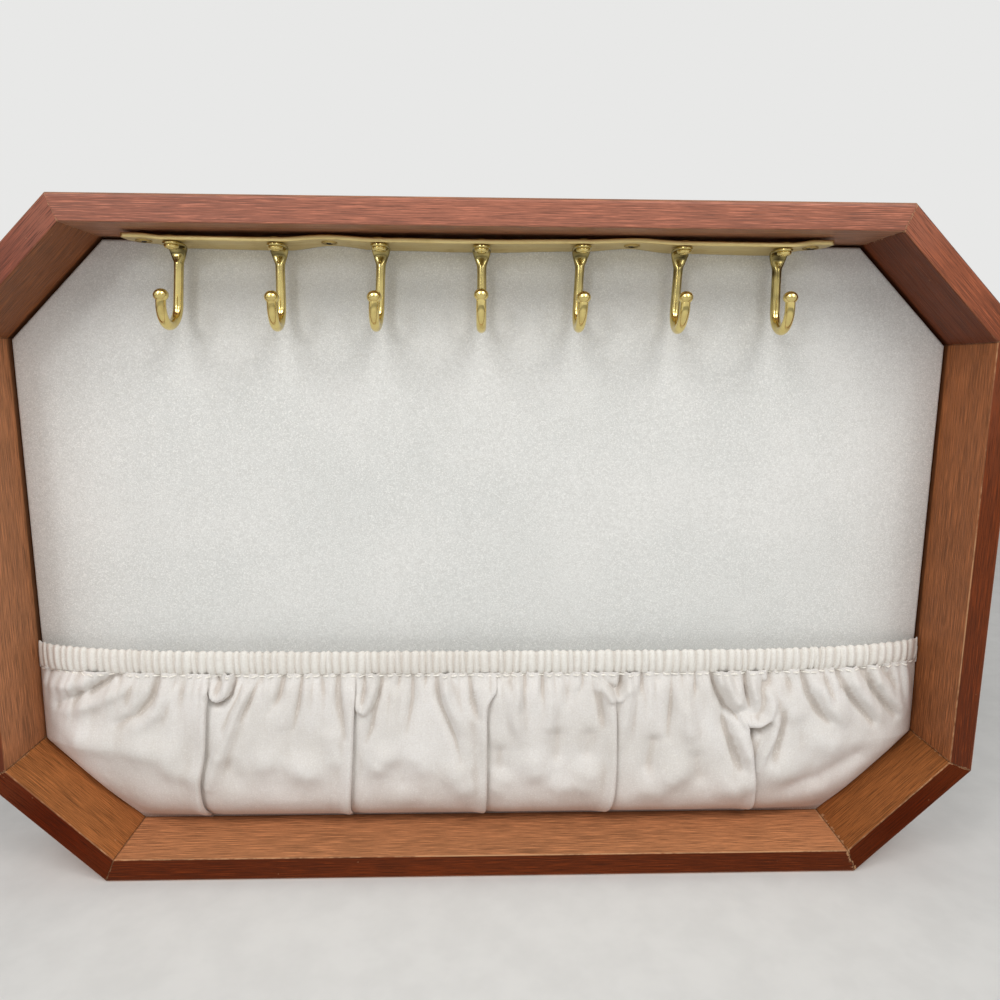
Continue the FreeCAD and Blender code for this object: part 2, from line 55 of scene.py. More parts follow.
# The case as the frame gives it
FLOOR_Z = node_box("bottom_rail")[1][2]
ROOF_Z = node_box("top_rail")[0][2]
FRONT_Y = node_box("bottom_rail")[0][1]
LINER_Y = node_box("liner_felt")[0][1]
LINER_BACK_Y = node_box("liner_felt")[1][1]
INNER_HALF = node_box("right_stile")[0][0]
WALL = FLOOR_Z
INNER_HEIGHT = ROOF_Z - FLOOR_Z
CENTRE_Z = (FLOOR_Z + ROOF_Z) / 2
CORNER_CUT = INNER_HALF - node_box("lower_right_corner")[0][0]
LINER_DEPTH = LINER_Y - FRONT_Y
STITCH_UP = node_box("pocket_cloth")[1][2] - FLOOR_Z
STRIP_LOW, STRIP_HIGH = node_box("hook_strip")

# Hook strip, rivets and screws
HOOK_COUNT = 7
STRIP_MIDDLE = (STRIP_LOW[0] + STRIP_HIGH[0]) / 2
STRIP_HALF = (STRIP_HIGH[0] - STRIP_LOW[0]) / 2
STRIP_WIDTH = STRIP_HIGH[1] - STRIP_LOW[1]
STRIP_MID_OUT = LINER_Y - STRIP_HIGH[1] + STRIP_WIDTH / 2
STRIP_THICKNESS = 1.4
STRIP_OVERHANG = 16.7
STRIP_END_ROUND = 1.6
STRIP_EDGE_ROUND = 0.32
STRIP_STAND_OFF = 1.8
STRIP_END_LIFT = 0.85
STRIP_SCREW_LIFT = 0.9
STRIP_REAR_DROOP = 0.8
STRIP_REAR_SPREAD = 1.1
STRIP_REAR_ROUND = 9.5
STRIP_TIP_GAPS = (1.5, 1.1)
STRIP_SIDE_TRIM = 0.15
STRIP_STATIONS = 560
RIVET_LIFTS = [STRIP_STAND_OFF * share for share in (0.9, 1.0, 0.9, 1.0, 0.8, 0.9, 1.0)]
SCREW_HEAD_RADIUS = 2.6
SCREW_HEAD_RISE = 0.42
SCREW_HEAD_DOME = 0.22
SCREW_SIDES = 72
SCREW_HEAD_RINGS = 26
SCREW_FIRST_TURN = 0.5
SCREW_TURN_STEP = 1.1
RECESS_HALF_WIDTH = 0.78
RECESS_REACH = 2.2
RECESS_DEPTH = 0.4
SCREW_REACH = 0.2
SCREW_END_REACH = 10.0
NEAR_SCREW_PITCH_SHARE = 1.5
RIVET_OUT = 11.8
RIVET_REACH = 1.0
RIVET_SIDES = 44

# Hooks
ROD_RADIUS = 1.58
HOOK_STEM_OUT = 5.6
HOOK_LENGTH = 27.5
HOOK_BEND_RADIUS = 6.8
HOOK_TIP_RISE = 3.0
HOOK_NECK_DROP = 5.4
HOOK_NECK_END = 10.6
HOOK_SIDES = 36
HOOK_STATIONS = 120
BALL_RADIUS = 2.3
BALL_HALF_HEIGHT = 2.0
BALL_STEPS = 22
FOOT_RADIUS = 2.7
FOOT_THICKNESS = 1.1
FOOT_SEAT_GAP = 0.08
TIP_RISE_SHARES = (0.65, 0.6, 0.65, 1.0, 0.7, 0.85, 1.0)
HOOK_TURN_DEG = (-0.7, 2.3, -0.2, -1.0, 0.3, -0.8, -1.8)
HOOK_LEAN_DEG = (-4.6, -1.0, -3.1, 0.0, -2.1, -2.4, 1.1)

# Pocket
POCKET_SIDE_GAP = 0.5
POCKET_SEAT_GAP = 0.3
POCKET_EDGE_OUT = 0.7
POCKET_FLOOR_GAP = 0.3
POCKET_BULGE = 13.0
POCKET_SQUARENESS = 6
POCKET_THICKNESS = 0.4
POCKET_SIDE_FADE = 5
CASING_HEIGHT = 8.8
CASING_THICKNESS = 2.8
CASING_MID_OUT = 9.0
CASING_SQUARENESS = 4.5
CASING_END_RISE = 2.6
CASING_END_GAP = 0.9
CASING_END_REACH = 9.0
CASING_END_SHARE = 0.42
CASING_COLUMNS = 1900
RIB_RELIEF = 1.1
RIB_LEVEL = 0.55
SEAM_REACH = 6.0
SEAM_TUCK = 0.75
SEAM_LAP = 0.5
SEAM_RISE = 0.4
SEAM_END_RISES = (1.5, 2.8)
SEAM_END_POWER = 6
STITCH_DROP = 1.0
STITCH_PITCH = 3.15
STITCH_RADIUS = 0.33
STITCH_END_GAP = 1.6
STITCH_STATIONS = 9
STITCH_SIDES = 8

# Felt over the board
FELT_ROUND = 1.0
FELT_HEM = 12.0
FELT_EDGE_STEPS = 5
FELT_FACE_STEPS = 34
FELT_SIDE_POINTS = 26
FELT_FIT = 0.7
FELT_THICKNESS = 0.6
FELT_WAVE = 0.16
FELT_WAVE_LENGTH = 34
FELT_LAST_SCALE = 0.01

# Camera: across, out and up from the middle of the liner, its turns, and focal length over picture width
CAMERA_ACROSS = -3.018
CAMERA_OUT = 263.282
CAMERA_RISE = 61.281
CAMERA_TURN = (-0.1692, -0.0296, 0.0009)
LENS_SHARE = 0.7562

HOOK_PITCH = 2 * (STRIP_HALF - STRIP_OVERHANG) / (HOOK_COUNT - 1)
HOOK_PLACES = [STRIP_MIDDLE + HOOK_PITCH * (number - (HOOK_COUNT - 1) / 2) for number in range(HOOK_COUNT)]
SCREW_FAR = HOOK_PITCH * (HOOK_COUNT - 1) / 2 + SCREW_END_REACH
SCREW_NEAR = HOOK_PITCH * NEAR_SCREW_PITCH_SHARE
SCREW_PLACES = [STRIP_MIDDLE + side for side in (-SCREW_FAR, -SCREW_NEAR, SCREW_NEAR, SCREW_FAR)]


# A place inside the case: across, out from the liner's face, up from the inside floor
def inside(across, out, up):
    return Vector((across, LINER_Y - out, FLOOR_Z + up)) * MM


def below_top(across, out, drop):
    return inside(across, out, INNER_HEIGHT - drop)


# The camera's turn from level, looking at the case from the front
def camera_turn():
    pitch, yaw, roll = CAMERA_TURN
    turn = Matrix.Rotation(roll, 3, "Z") @ Matrix.Rotation(pitch, 3, "X") @ Matrix.Rotation(yaw, 3, "Y")
    return Matrix.Rotation(radians(90), 3, "X") @ turn


def between(start, end, share):
    return start + (end - start) * share


def eased(share):
    share = min(1.0, max(0.0, share))
    return share * share * (3 - 2 * share)


# Shares from nought to one in equal steps
def shares(steps):
    return [step / steps for step in range(steps + 1)]


# Cosine and sine at each side of a circle
def circle(sides):
    return [(cos(2 * pi * side / sides), sin(2 * pi * side / sides)) for side in range(sides)]


def ripple(x, y, z):
    return noise.noise(Vector((x, y, z)))


# Smooth run through rows of numbers, the first number of each row being its place
def smooth_row(rows, place):
    if place <= rows[0][0]:
        return rows[0][1:]
    if place >= rows[-1][0]:
        return rows[-1][1:]
    index = max(number for number, row in enumerate(rows[:-1]) if row[0] <= place)
    spans = [rows[max(0, index - 1)], rows[index], rows[index + 1], rows[min(len(rows) - 1, index + 2)]]
    places, *columns = zip(*spans)
    length = places[2] - places[1]
    share = (place - places[1]) / length
    square, cube = share ** 2, share ** 3
    values = []
    for before, start, end, after in columns:
        slope_in = (end - before) / (places[2] - places[0]) * length
        slope_out = (after - start) / (places[3] - places[1]) * length
        values.append((2 * cube - 3 * square + 1) * start + (cube - 2 * square + share) * slope_in
                      + (3 * square - 2 * cube) * end + (cube - square) * slope_out)
    return values


def shown(name, data):
    made = bpy.data.objects.new(name, data)
    bpy.context.scene.collection.objects.link(made)
    return made


# Object from points and faces, smooth shaded
def mesh_piece(name, points, faces, material, slot, folds=None):
    mesh = bpy.data.meshes.new(name)
    mesh.from_pydata([tuple(point) for point in points], [], faces)
    # The folds values are stored as the attribute of painted shade
    if folds:
        mesh.attributes.new("painted_shade", "FLOAT", "POINT").data.foreach_set("value", folds)
    mesh.polygons.foreach_set("use_smooth", [True] * len(mesh.polygons))
    mesh.materials.append(material)
    piece = shown(name, mesh)
    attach(piece, "root")
    return piece


def thicken(piece, thickness, side):
    modifier = piece.modifiers.new("thickness", "SOLIDIFY")
    modifier.thickness = thickness * MM
    modifier.offset = side


# Faces between rows of points; a closed row joins its last point to its first
def row_faces(row_count, row_size, closed, start=0):
    faces = []
    for first in range(start, start + (row_count - 1) * row_size, row_size):
        second = first + row_size
        for column in range(row_size if closed else row_size - 1):
            following = (column + 1) % row_size
            faces.append((first + column, first + following, second + following, second + column))
    return faces


# Points and faces of a run of closed rings with both ends filled
def ringed(rings, start=0):
    points = [point for ring in rings for point in ring]
    size = len(rings[0])
    faces = row_faces(len(rings), size, True, start)
    last = start + size * (len(rings) - 1)
    faces.append(tuple(reversed(range(start, start + size))))
    faces.append(tuple(range(last, last + size)))
    return points, faces


# Points and faces of several such runs together
def joined(runs):
    points, faces = [], []
    for rings in runs:
        more_points, more_faces = ringed(rings, len(points))
        points += more_points
        faces += more_faces
    return points, faces


# Ring of points round an upright line through a place
def level_ring(place, radius, rise, sides):
    return [place + Vector((radius * x, radius * y, rise)) * MM for x, y in circle(sides)]


def rgb(*values):
    linear = []
    for value in values:
        share = value / 255
        linear.append(share / 12.92 if share <= 0.04045 else ((share + 0.055) / 1.055) ** 2.4)
    return (*linear, 1.0)


# A node tree, with short calls for the nodes that the finishes use; each gives the outputs of what it adds
class Finish:
    def __init__(self, name, kind="materials"):
        self.made = getattr(bpy.data, kind).new(name)
        self.made.use_nodes = True
        self.tree = self.made.node_tree

    def put(self, socket, value):
        if isinstance(value, bpy.types.NodeSocket):
            self.tree.links.new(value, socket)
        else:
            socket.default_value = value

    def add(self, kind, sockets, **settings):
        made = self.tree.nodes.new(kind)
        for name, value in settings.items():
            setattr(made, name, value)
        for name, value in sockets.items():
            self.put(made.inputs[name], value)
        return made.outputs

    def place(self):
        return self.add("ShaderNodeTexCoord", {})["Object"]

    # Attribute of painted shade, given per point: in the cloth's creases and between the casing's ribs, in
    # the screws' cross recesses, and on the hooks' necks and stems
    def painted_shade(self):
        return self.add("ShaderNodeAttribute", {}, attribute_name="painted_shade")["Fac"]

    # A scale of three numbers draws the noise out along the axes
    def noise(self, vector, scale, detail, rough, warp=0.0):
        if isinstance(scale, tuple):
            vector, scale = self.add("ShaderNodeMapping", {"Vector": vector, "Scale": scale})[0], 1.0
        sockets = {"Vector": vector, "Scale": scale, "Detail": detail, "Roughness": rough, "Distortion": warp}
        return self.add("ShaderNodeTexNoise", sockets)[0]

    def math(self, operation, first, second=0.0):
        return self.add("ShaderNodeMath", {0: first, 1: second}, operation=operation)[0]

    def plus(self, first, second):
        return self.math("ADD", first, second)

    def times(self, first, second):
        return self.math("MULTIPLY", first, second)

    def remap(self, value, low, high, to_low=0.0, to_high=1.0):
        sockets = {"Value": value, "From Min": low, "From Max": high, "To Min": to_low, "To Max": to_high}
        return self.add("ShaderNodeMapRange", sockets, interpolation_type="SMOOTHSTEP")[0]

    def mix(self, share, first, second):
        return self.add("ShaderNodeMix", {0: share, 6: first, 7: second}, data_type="RGBA")[2]

    # Layers over a colour: a value, the limits that it shows between, its strongest share and its colour
    def layered(self, colour, *layers):
        for value, low, high, share, over in layers:
            colour = self.mix(self.remap(value, low, high, 0.0, share), colour, over)
        return colour

    def bump(self, height, strength, distance, *under):
        sockets = {"Height": height, "Strength": strength, "Distance": distance * MM}
        sockets.update(("Normal", normal) for normal in under)
        return self.add("ShaderNodeBump", sockets)[0]

    def finish(self, **sockets):
        shader = self.tree.nodes["Principled BSDF"]
        for name, value in sockets.items():
            self.put(shader.inputs[name.replace("_", " ")], value)
        return self.made


# Noises of the wood, most of them drawn out along the grain: scale, detail, roughness and warp
WOOD_NOISES = {
    "bands": ((7, 70, 70), 3, 0.55, 0.6), "streaks": ((13, 1000, 1000), 3, 0.6),
    "fibres": ((85, 3300, 3300), 3, 0.65), "pores": ((120, 2600, 2600), 1.5, 0.5),
    "mottle": ((40, 70, 70), 3, 0.6), "wear": ((260, 500, 500), 4, 0.7), "patches": ((22, 60, 60), 2, 0.5),
    "chips": ((420, 420, 420), 4, 0.75), "specks": (520, 2, 0.5),
}
SEED_STEPS = (0.37, 0.11, 0.23)
MITRE_SLOPE = tan(radians(22.5))


# Wood of one member: coordinates run along it, back from its front and in from its inner face
def wood_finish(name, start, along, length, seed, tone, filler_shares):
    wood = Finish(name)
    turn = (0, atan2(-along.z, along.x), 0)
    local = wood.add("ShaderNodeMapping", {"Vector": wood.place(), "Location": start, "Rotation": turn},
                     vector_type="TEXTURE")[0]
    shift = [seed * step for step in SEED_STEPS]
    seeded = wood.add("ShaderNodeMapping", {"Vector": local, "Location": shift})[0]
    run, back, inward = wood.add("ShaderNodeSeparateXYZ", {"Vector": local})
    bands, streaks, fibres, pore_marks, mottle, wear_marks, patches, chip_marks, speck_marks = (
        wood.noise(seeded, *numbers) for numbers in WOOD_NOISES.values())
    pores = wood.remap(pore_marks, 0.54, 0.7)

    # The stain with the member's painted light and shade, darker in the pores
    colour = wood.layered(tone["dark"], (bands, 0.3, 0.7, 1, tone["light"]),
                          (streaks, 0.48, 0.68, 0.22, tone["streak"]),
                          (fibres, 0.5, 0.6, 0.95, tone["streak"]), (fibres, 0.48, 0.38, 0.95, tone["fibre"]))
    colour = wood.mix(wood.times(pores, 0.32), colour, tone["pore"])
    colour = wood.layered(colour, (mottle, 0.4, 0.75, 0.25, tone["light"]))

    # The narrow front faces carry their own colour, with painted light and shade (a painted glare on the top
    # rail), which turns into their neighbours' at the mitres
    front = wood.layered(tone["rim_dark"], (bands, 0.3, 0.7, 1, tone["rim_light"]),
                         (run, 0.45 * length * MM, 0, 0.5, tone["before"]),
                         (run, 0.55 * length * MM, length * MM, 0.5, tone["after"]),
                         (fibres, 0.5, 0.62, 0.8, tone["rim_pore"]),
                         (fibres, 0.48, 0.35, 0.8, tone["rim_fibre"]))
    front = wood.mix(wood.times(pores, 0.3), front, tone["rim_pore"])
    colour = wood.mix(wood.remap(back, 0.35 * MM, 0.12 * MM), colour, front)

    # Worn inner and outer edges of the rim, broken up along their length
    to_front = wood.math("ABSOLUTE", wood.math("SUBTRACT", back, 0.1 * MM))
    inner_edge, outer_edge = (wood.plus(wood.math("ABSOLUTE", wood.plus(inward, depth * MM)), to_front)
                              for depth in (0.1, WALL))
    worn = wood.math("MAXIMUM", wood.remap(inner_edge, 0.42 * MM, 0.12 * MM),
                     wood.times(wood.remap(outer_edge, 0.6 * MM, 0.12 * MM), 0.5))
    broken = wood.remap(wood.plus(wear_marks, patches), 0.8, 1.15)
    worn = wood.times(worn, wood.plus(wood.times(broken, 0.7), 0.2))
    worn = wood.times(worn, tone["wear"])
    colour = wood.mix(worn, colour, tone["bare"])

    # Mitre lines: a dark hairline, with pale filler and chips beside some of them
    slope = wood.times(inward, MITRE_SLOPE)
    from_start = wood.math("SUBTRACT", run, slope)
    from_end = wood.math("SUBTRACT", wood.math("SUBTRACT", length * MM, run), slope)
    filled = []
    for distance, amount in zip((from_start, from_end), filler_shares):
        near = wood.remap(distance, (0.5 + 2.6 * amount) * MM, 0.05 * MM)
        marks = wood.remap(wood.plus(chip_marks, wood.times(near, 0.35)), 0.8, 0.87)
        filled.append(wood.times(wood.times(marks, near), min(1.0, 0.4 + amount)))
    chips = wood.math("MAXIMUM", *filled)
    colour = wood.mix(wood.times(chips, 0.7), colour, tone["bare"])
    nearest = wood.math("MINIMUM", from_start, from_end)
    seam = wood.remap(nearest, 0.34 * MM, 0.08 * MM, 0.0, tone["seam"])
    colour = wood.mix(seam, colour, tone["pore"])

    # Painted shade: a dark line on the inner face where the felt and the pocket meet it
    liner_meeting_shade = wood.remap(back, (LINER_DEPTH - 1.0) * MM, (LINER_DEPTH - 0.1) * MM, 0.0, 0.75)
    liner_meeting_shade = wood.times(liner_meeting_shade, wood.remap(inward, -2.0 * MM, -1.0 * MM))
    colour = wood.mix(liner_meeting_shade, colour, tone["pore"])

    # Small dents and rubbed spots in the lacquer
    specks = wood.remap(speck_marks, 0.74, 0.8)
    colour = wood.mix(wood.times(specks, 0.2), colour, tone["bare"])

    grain = wood.math("SUBTRACT", wood.times(fibres, 0.6), wood.times(pores, 0.6))
    normal = wood.bump(grain, 0.4, 0.12)
    normal = wood.bump(wood.math("SUBTRACT", 0.0, wood.plus(chips, seam)), 0.6, 0.35, normal)
    normal = wood.bump(wood.plus(streaks, mottle), 0.2, 0.25, normal)
    roughness = wood.plus(wood.remap(streaks, 0.3, 0.7, 0.42, 0.54), wood.times(worn, 0.18))
    return wood.finish(Base_Color=colour, Roughness=roughness, Normal=normal, Coat_Weight=0.06,
                       Coat_Roughness=0.3, Specular_IOR_Level=tone["gloss"])


# Corners of the case's inner outline, moved out by an offset
def octagon(offset):
    half_width = INNER_HALF + offset
    half_height = INNER_HEIGHT / 2 + offset
    cut = CORNER_CUT + offset * (2 - sqrt(2))
    flat, side = half_width - cut, half_height - cut
    return [(-flat, -half_height), (flat, -half_height), (half_width, -side), (half_width, side),
            (flat, half_height), (-flat, half_height), (-half_width, side), (-half_width, -side)]


# Colour of each member in turn round the case, the stain with painted light and shade in it (lighter where a
# face turns to the lamps, darker where it turns away, a painted glare on the top rail's front): inner face,
# front face, wear of the edges, mitre line, gloss, and pale filler at both ends
CASE_STAINS_AND_PAINTED_LIGHT = {
    "bottom_rail": ((184, 124, 84), (100, 44, 17), 0.9, 0.6, 0.06, (0.15, 0.9)),
    "lower_right_corner": ((150, 92, 50), (76, 24, 1), 1.0, 0.6, 0.03, (0.9, 0.35)),
    "right_stile": ((154, 94, 56), (104, 47, 18), 0.75, 0.6, 0.12, (0.3, 0.1)),
    "upper_right_corner": ((104, 50, 23), (138, 76, 50), 0.2, 0.35, 0.2, (0.05, 0.3)),
    "top_rail": ((150, 100, 72), (164, 102, 80), 0.15, 0.1, 0.3, (0.25, 0.1)),
    "upper_left_corner": ((134, 80, 45), (120, 64, 47), 0.15, 0.1, 0.22, (0.1, 0.1)),
    "left_stile": ((170, 113, 76), (116, 58, 32), 0.3, 0.6, 0.14, (0.1, 0.4)),
    "lower_left_corner": ((169, 107, 61), (82, 25, 1), 0.9, 0.6, 0.04, (0.4, 0.15)),
}
BARE_WOOD = rgb(206, 158, 116)
INNER_SHADES = {"dark": 0.92, "light": 1.08, "streak": 0.74, "fibre": 1.2, "pore": 0.48}
RIM_SHADES = {"rim_dark": 0.92, "rim_light": 1.08, "rim_pore": 0.7, "rim_fibre": 1.26}


def dress_case():
    corners = [Vector((x, FRONT_Y, CENTRE_Z + z)) * MM for x, z in octagon(0)]
    fronts = [row[1] for row in CASE_STAINS_AND_PAINTED_LIGHT.values()]
    for index, name in enumerate(CASE_STAINS_AND_PAINTED_LIGHT):
        # Each member's inner and front colours carry painted light and shade as well as the stain
        inner, front, wear, seam, gloss, fillers = CASE_STAINS_AND_PAINTED_LIGHT[name]
        following = (index + 1) % len(corners)
        tone = {"bare": BARE_WOOD, "wear": wear, "seam": seam, "gloss": gloss,
                "before": rgb(*fronts[index - 1]), "after": rgb(*fronts[following])}
        for stain, shades in ((inner, INNER_SHADES), (front, RIM_SHADES)):
            for shade, light in shades.items():
                tone[shade] = rgb(*(min(255, value * light) for value in stain))
        way = corners[following] - corners[index]
        paint(name, wood_finish("wood_" + name, corners[index], way.normalized(), way.length / MM, index + 1,
                                tone, fillers))


def paint(name, material):
    target = NODES[name]
    if not target.material_slots:
        target.data.materials.append(material)
    for slot in target.material_slots:
        slot.material = material


# Thin stained plywood behind, with its face grain running across
def plywood_finish():
    ply = Finish("plywood")
    place = ply.place()
    bands = ply.noise(place, (5, 5, 60), 4, 0.6, 1.6)
    fibres = ply.noise(place, (40, 40, 1500), 3, 0.6)
    blotch = ply.noise(place, 18, 3, 0.6)
    colour = ply.layered(rgb(122, 84, 54), (bands, 0.3, 0.7, 1, rgb(156, 112, 76)),
                         (fibres, 0.4, 0.75, 0.5, rgb(92, 58, 36)),
                         (blotch, 0.5, 0.8, 0.3, rgb(172, 128, 90)))
    return ply.finish(Base_Color=colour, Roughness=ply.remap(blotch, 0.3, 0.7, 0.6, 0.78),
                      Normal=ply.bump(fibres, 0.3, 0.15))


# Plain finishes: noise, limits of the second colour, both colours, roughness, and the bump's two numbers
PLAIN_FINISHES = {
    "wire_steel": ((2200, 3, 0.7), (0.4, 0.7), (158, 158, 160), (110, 104, 98), (0.28, 0.5), (0.2, 0.05)),
    "hardboard": ((900, 4, 0.7), (0.35, 0.65), (120, 88, 58), (150, 116, 82), 0.85, (0.4, 0.1)),
    "woven_elastic": (((2400, 400, 300), 2, 0.5), (0.35, 0.65), (206, 203, 196), (228, 226, 220), 0.8,
                      (0.5, 0.1)),
    "sewing_thread": (((3000, 3000, 3000), 2, 0.5), (0.35, 0.65), (238, 233, 222), (252, 250, 244), 0.7,
                      (0.4, 0.08)),
    "pale_floor": ((60, 3, 0.6), (0.3, 0.7), (222, 222, 220), (228, 228, 226), 0.9, ()),
}


def plain_finish(name, **more):
    grain_numbers, limits, first, second, roughness, relief = PLAIN_FINISHES[name]
    plain = Finish(name)
    grain = plain.noise(plain.place(), *grain_numbers)
    colour = plain.layered(rgb(*first), (grain, *limits, 1, rgb(*second)))
    if isinstance(roughness, tuple):
        roughness = plain.remap(grain, 0.3, 0.7, *roughness)
    if relief:
        more["Normal"] = plain.bump(grain, *relief)
    return plain.finish(Base_Color=colour, Roughness=roughness, **more)


# Short-nap felt: matted fibres and slight shade changes
def felt_finish():
    felt = Finish("short_nap_felt")
    place = felt.place()
    nap = felt.noise(place, 2400, 5, 0.72)
    matted = felt.noise(place, (900, 900, 1100), 4, 0.65, 0.5)
    shade = felt.noise(place, 20, 3, 0.55)
    colour = felt.layered(rgb(218, 219, 216), (shade, 0.3, 0.7, 1, rgb(227, 227, 224)),
                          (matted, 0.42, 0.62, 0.3, rgb(196, 195, 190)),
                          (nap, 0.5, 0.62, 0.85, rgb(246, 246, 243)))
    return felt.finish(Base_Color=colour, Roughness=0.95, Normal=felt.bump(felt.plus(nap, matted), 0.4, 0.2),
                       Sheen_Weight=0.2, Sheen_Roughness=0.6, Specular_IOR_Level=0.15)


# Thin brushed cloth: a faint weave and nap, with painted shade, warmer and darker, down in its folds and near
# the floor, and a painted dark contact shadow at its foot
def cloth_finish(name, shadow, light):
    cloth = Finish(name)
    place = cloth.place()
    weave = cloth.plus(*(cloth.noise(place, scale, 2, 0.5) for scale in ((2600, 500, 260), (260, 500, 2600))))
    nap = cloth.noise(place, 1900, 4, 0.7)
    shade = cloth.noise(place, 36, 3, 0.55)
    height = cloth.add("ShaderNodeSeparateXYZ", {"Vector": place})[2]
    # Painted shade: warmer and darker in the creases and towards the floor, and a dark painted contact shadow
    # in the last few millimetres
    colour = cloth.layered(
        shadow, (shade, 0.3, 0.7, 1, light), (cloth.painted_shade(), 0, 1, 0.62, rgb(186, 174, 163)),
        (height, (FLOOR_Z + 30) * MM, (FLOOR_Z + 6) * MM, 0.4, rgb(208, 190, 180)),
        (height, (FLOOR_Z + 3.2) * MM, (FLOOR_Z + 0.8) * MM, 0.8, rgb(128, 100, 82)),
        (weave, 0.75, 1.25, 0.12, rgb(206, 196, 182)), (nap, 0.52, 0.66, 0.4, rgb(247, 245, 240)),
        (nap, 0.48, 0.34, 0.35, rgb(204, 198, 190)))
    normal = cloth.bump(nap, 0.2, 0.1, cloth.bump(weave, 0.12, 0.08))
    return cloth.finish(Base_Color=colour, Roughness=0.92, Normal=normal, Sheen_Weight=0.2,
                        Sheen_Roughness=0.5, Specular_IOR_Level=0.12)


# Brass: clear colour, tarnish, gloss, scale of the scratches, share of tarnish, and whether painted shade
# from its attribute darkens it
BRASSES = {
    "satin_brass": ((232, 211, 150), (182, 152, 90), (0.3, 0.44), (40, 900, 900), 0.3, False),
    "polished_brass": ((230, 210, 138), (172, 140, 72), (0.1, 0.2), (500, 500, 120), 0.34, True),
    "aged_brass": ((196, 172, 112), (96, 76, 46), (0.34, 0.55), (700, 700, 700), 0.6, True),
}
# Dark brown painted on as shade and dark reflections
PAINTED_SHADE_BROWN = rgb(34, 24, 14)


def brass_finish(name):
    bright, tarnish, gloss, scratch_scale, tarnish_share, takes_painted_shade = BRASSES[name]
    tarnish = rgb(*tarnish)
    brass = Finish(name)
    place = brass.place()
    scratches = brass.noise(place, scratch_scale, 3, 0.65)
    patches = brass.noise(place, 130, 4, 0.65)
    pits = brass.remap(brass.noise(place, 1500, 2, 0.5), 0.7, 0.8)
    share = brass.remap(patches, 0.45, 0.75, 0.0, tarnish_share)
    colour = brass.mix(share, rgb(*bright), tarnish)
    colour = brass.mix(brass.times(pits, 0.5), colour, tarnish)
    colour = brass.layered(colour, (scratches, 0.4, 0.75, 0.25, tarnish))
    # Painted shade from the attribute: the hooks' necks and stems, the screws' cross recesses
    if takes_painted_shade:
        colour = brass.mix(brass.painted_shade(), colour, PAINTED_SHADE_BROWN)
    rough = brass.plus(brass.remap(scratches, 0.3, 0.7, *gloss), brass.times(share, 0.25))
    normal = brass.bump(patches, 0.2, 0.25, brass.bump(scratches, 0.22, 0.05))
    return brass.finish(Base_Color=colour, Metallic=1.0, Roughness=rough, Normal=normal)


def felt_ring(inset, y, waviness=0.0, scale=1.0):
    corners = octagon(-FELT_FIT - inset)
    ring = []
    for corner, following in zip(corners, corners[1:] + corners[:1]):
        for share in shares(FELT_SIDE_POINTS)[:-1]:
            x, z = (scale * between(start, end, share) for start, end in zip(corner, following))
            lift = waviness * noise.noise(Vector((x, 0, z)) / FELT_WAVE_LENGTH)
            ring.append(Vector((x, y + lift, CENTRE_Z + z)) * MM)
    return ring


# Felt: level face, rounded edges and a hem turned in behind, which stays open in its middle
def felt_piece(material):
    rings = [felt_ring(inset, LINER_BACK_Y - 0.05) for inset in (FELT_HEM, FELT_ROUND)]
    for y_centre, from_deg in ((LINER_BACK_Y - FELT_ROUND, 90), (LINER_Y + FELT_ROUND, 0)):
        for share in shares(FELT_EDGE_STEPS):
            angle = radians(from_deg - 90 * share)
            rings.append(felt_ring(FELT_ROUND * (1 - cos(angle)), y_centre + FELT_ROUND * sin(angle)))
    for share in shares(FELT_FACE_STEPS)[1:]:
        scale = 1 - (1 - FELT_LAST_SCALE) * share ** 1.2
        rings.append(felt_ring(FELT_ROUND, LINER_Y, FELT_WAVE * eased((1 - scale) / 0.08), scale))
    points, faces = ringed(rings)
    del faces[-2]
    piece = mesh_piece("felt", points, faces, material, "felt")
    thicken(piece, FELT_THICKNESS, -1)
    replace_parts(piece, "liner_felt")


# Wave of the strip: drawn up at each screw, level and held off at each rivet
def strip_waypoints():
    ends = [(STRIP_MIDDLE - STRIP_HALF, STRIP_END_LIFT), (STRIP_MIDDLE + STRIP_HALF, STRIP_END_LIFT)]
    level = [(across, STRIP_SCREW_LIFT, SCREW_REACH) for across in SCREW_PLACES]
    level += [(across, lift, RIVET_REACH) for across, lift in zip(HOOK_PLACES, RIVET_LIFTS)]
    for across, lift, reach in level:
        ends += [(across - reach, lift), (across + reach, lift)]
    return sorted(ends)


STRIP_WAY = strip_waypoints()


def strip_drop(across):
    for (start, start_lift), (end, end_lift) in zip(STRIP_WAY, STRIP_WAY[1:]):
        if across <= end:
            return between(start_lift, end_lift, eased((across - start) / (end - start)))
    return STRIP_END_LIFT


# Rounded oblong around a centre, with extra places along its long sides
def oblong(half_width, half_height, radius, corner_steps=4, flat_steps=8):
    places = []
    for index, (x_side, z_side) in enumerate(((1, 1), (-1, 1), (-1, -1), (1, -1))):
        for share in shares(corner_steps):
            angle = radians(90 * (index + share))
            places.append((x_side * (half_width - radius) + radius * cos(angle),
                           z_side * (half_height - radius) + radius * sin(angle)))
        if index % 2 == 0:
            x, z = places[-1]
            places += [(between(x, -x, share), z) for share in shares(flat_steps)[1:-1]]
    return places


def end_inset(from_end, radius):
    if from_end >= radius:
        return 0.0
    return radius - sqrt(max(0.0, radius ** 2 - (radius - from_end) ** 2))


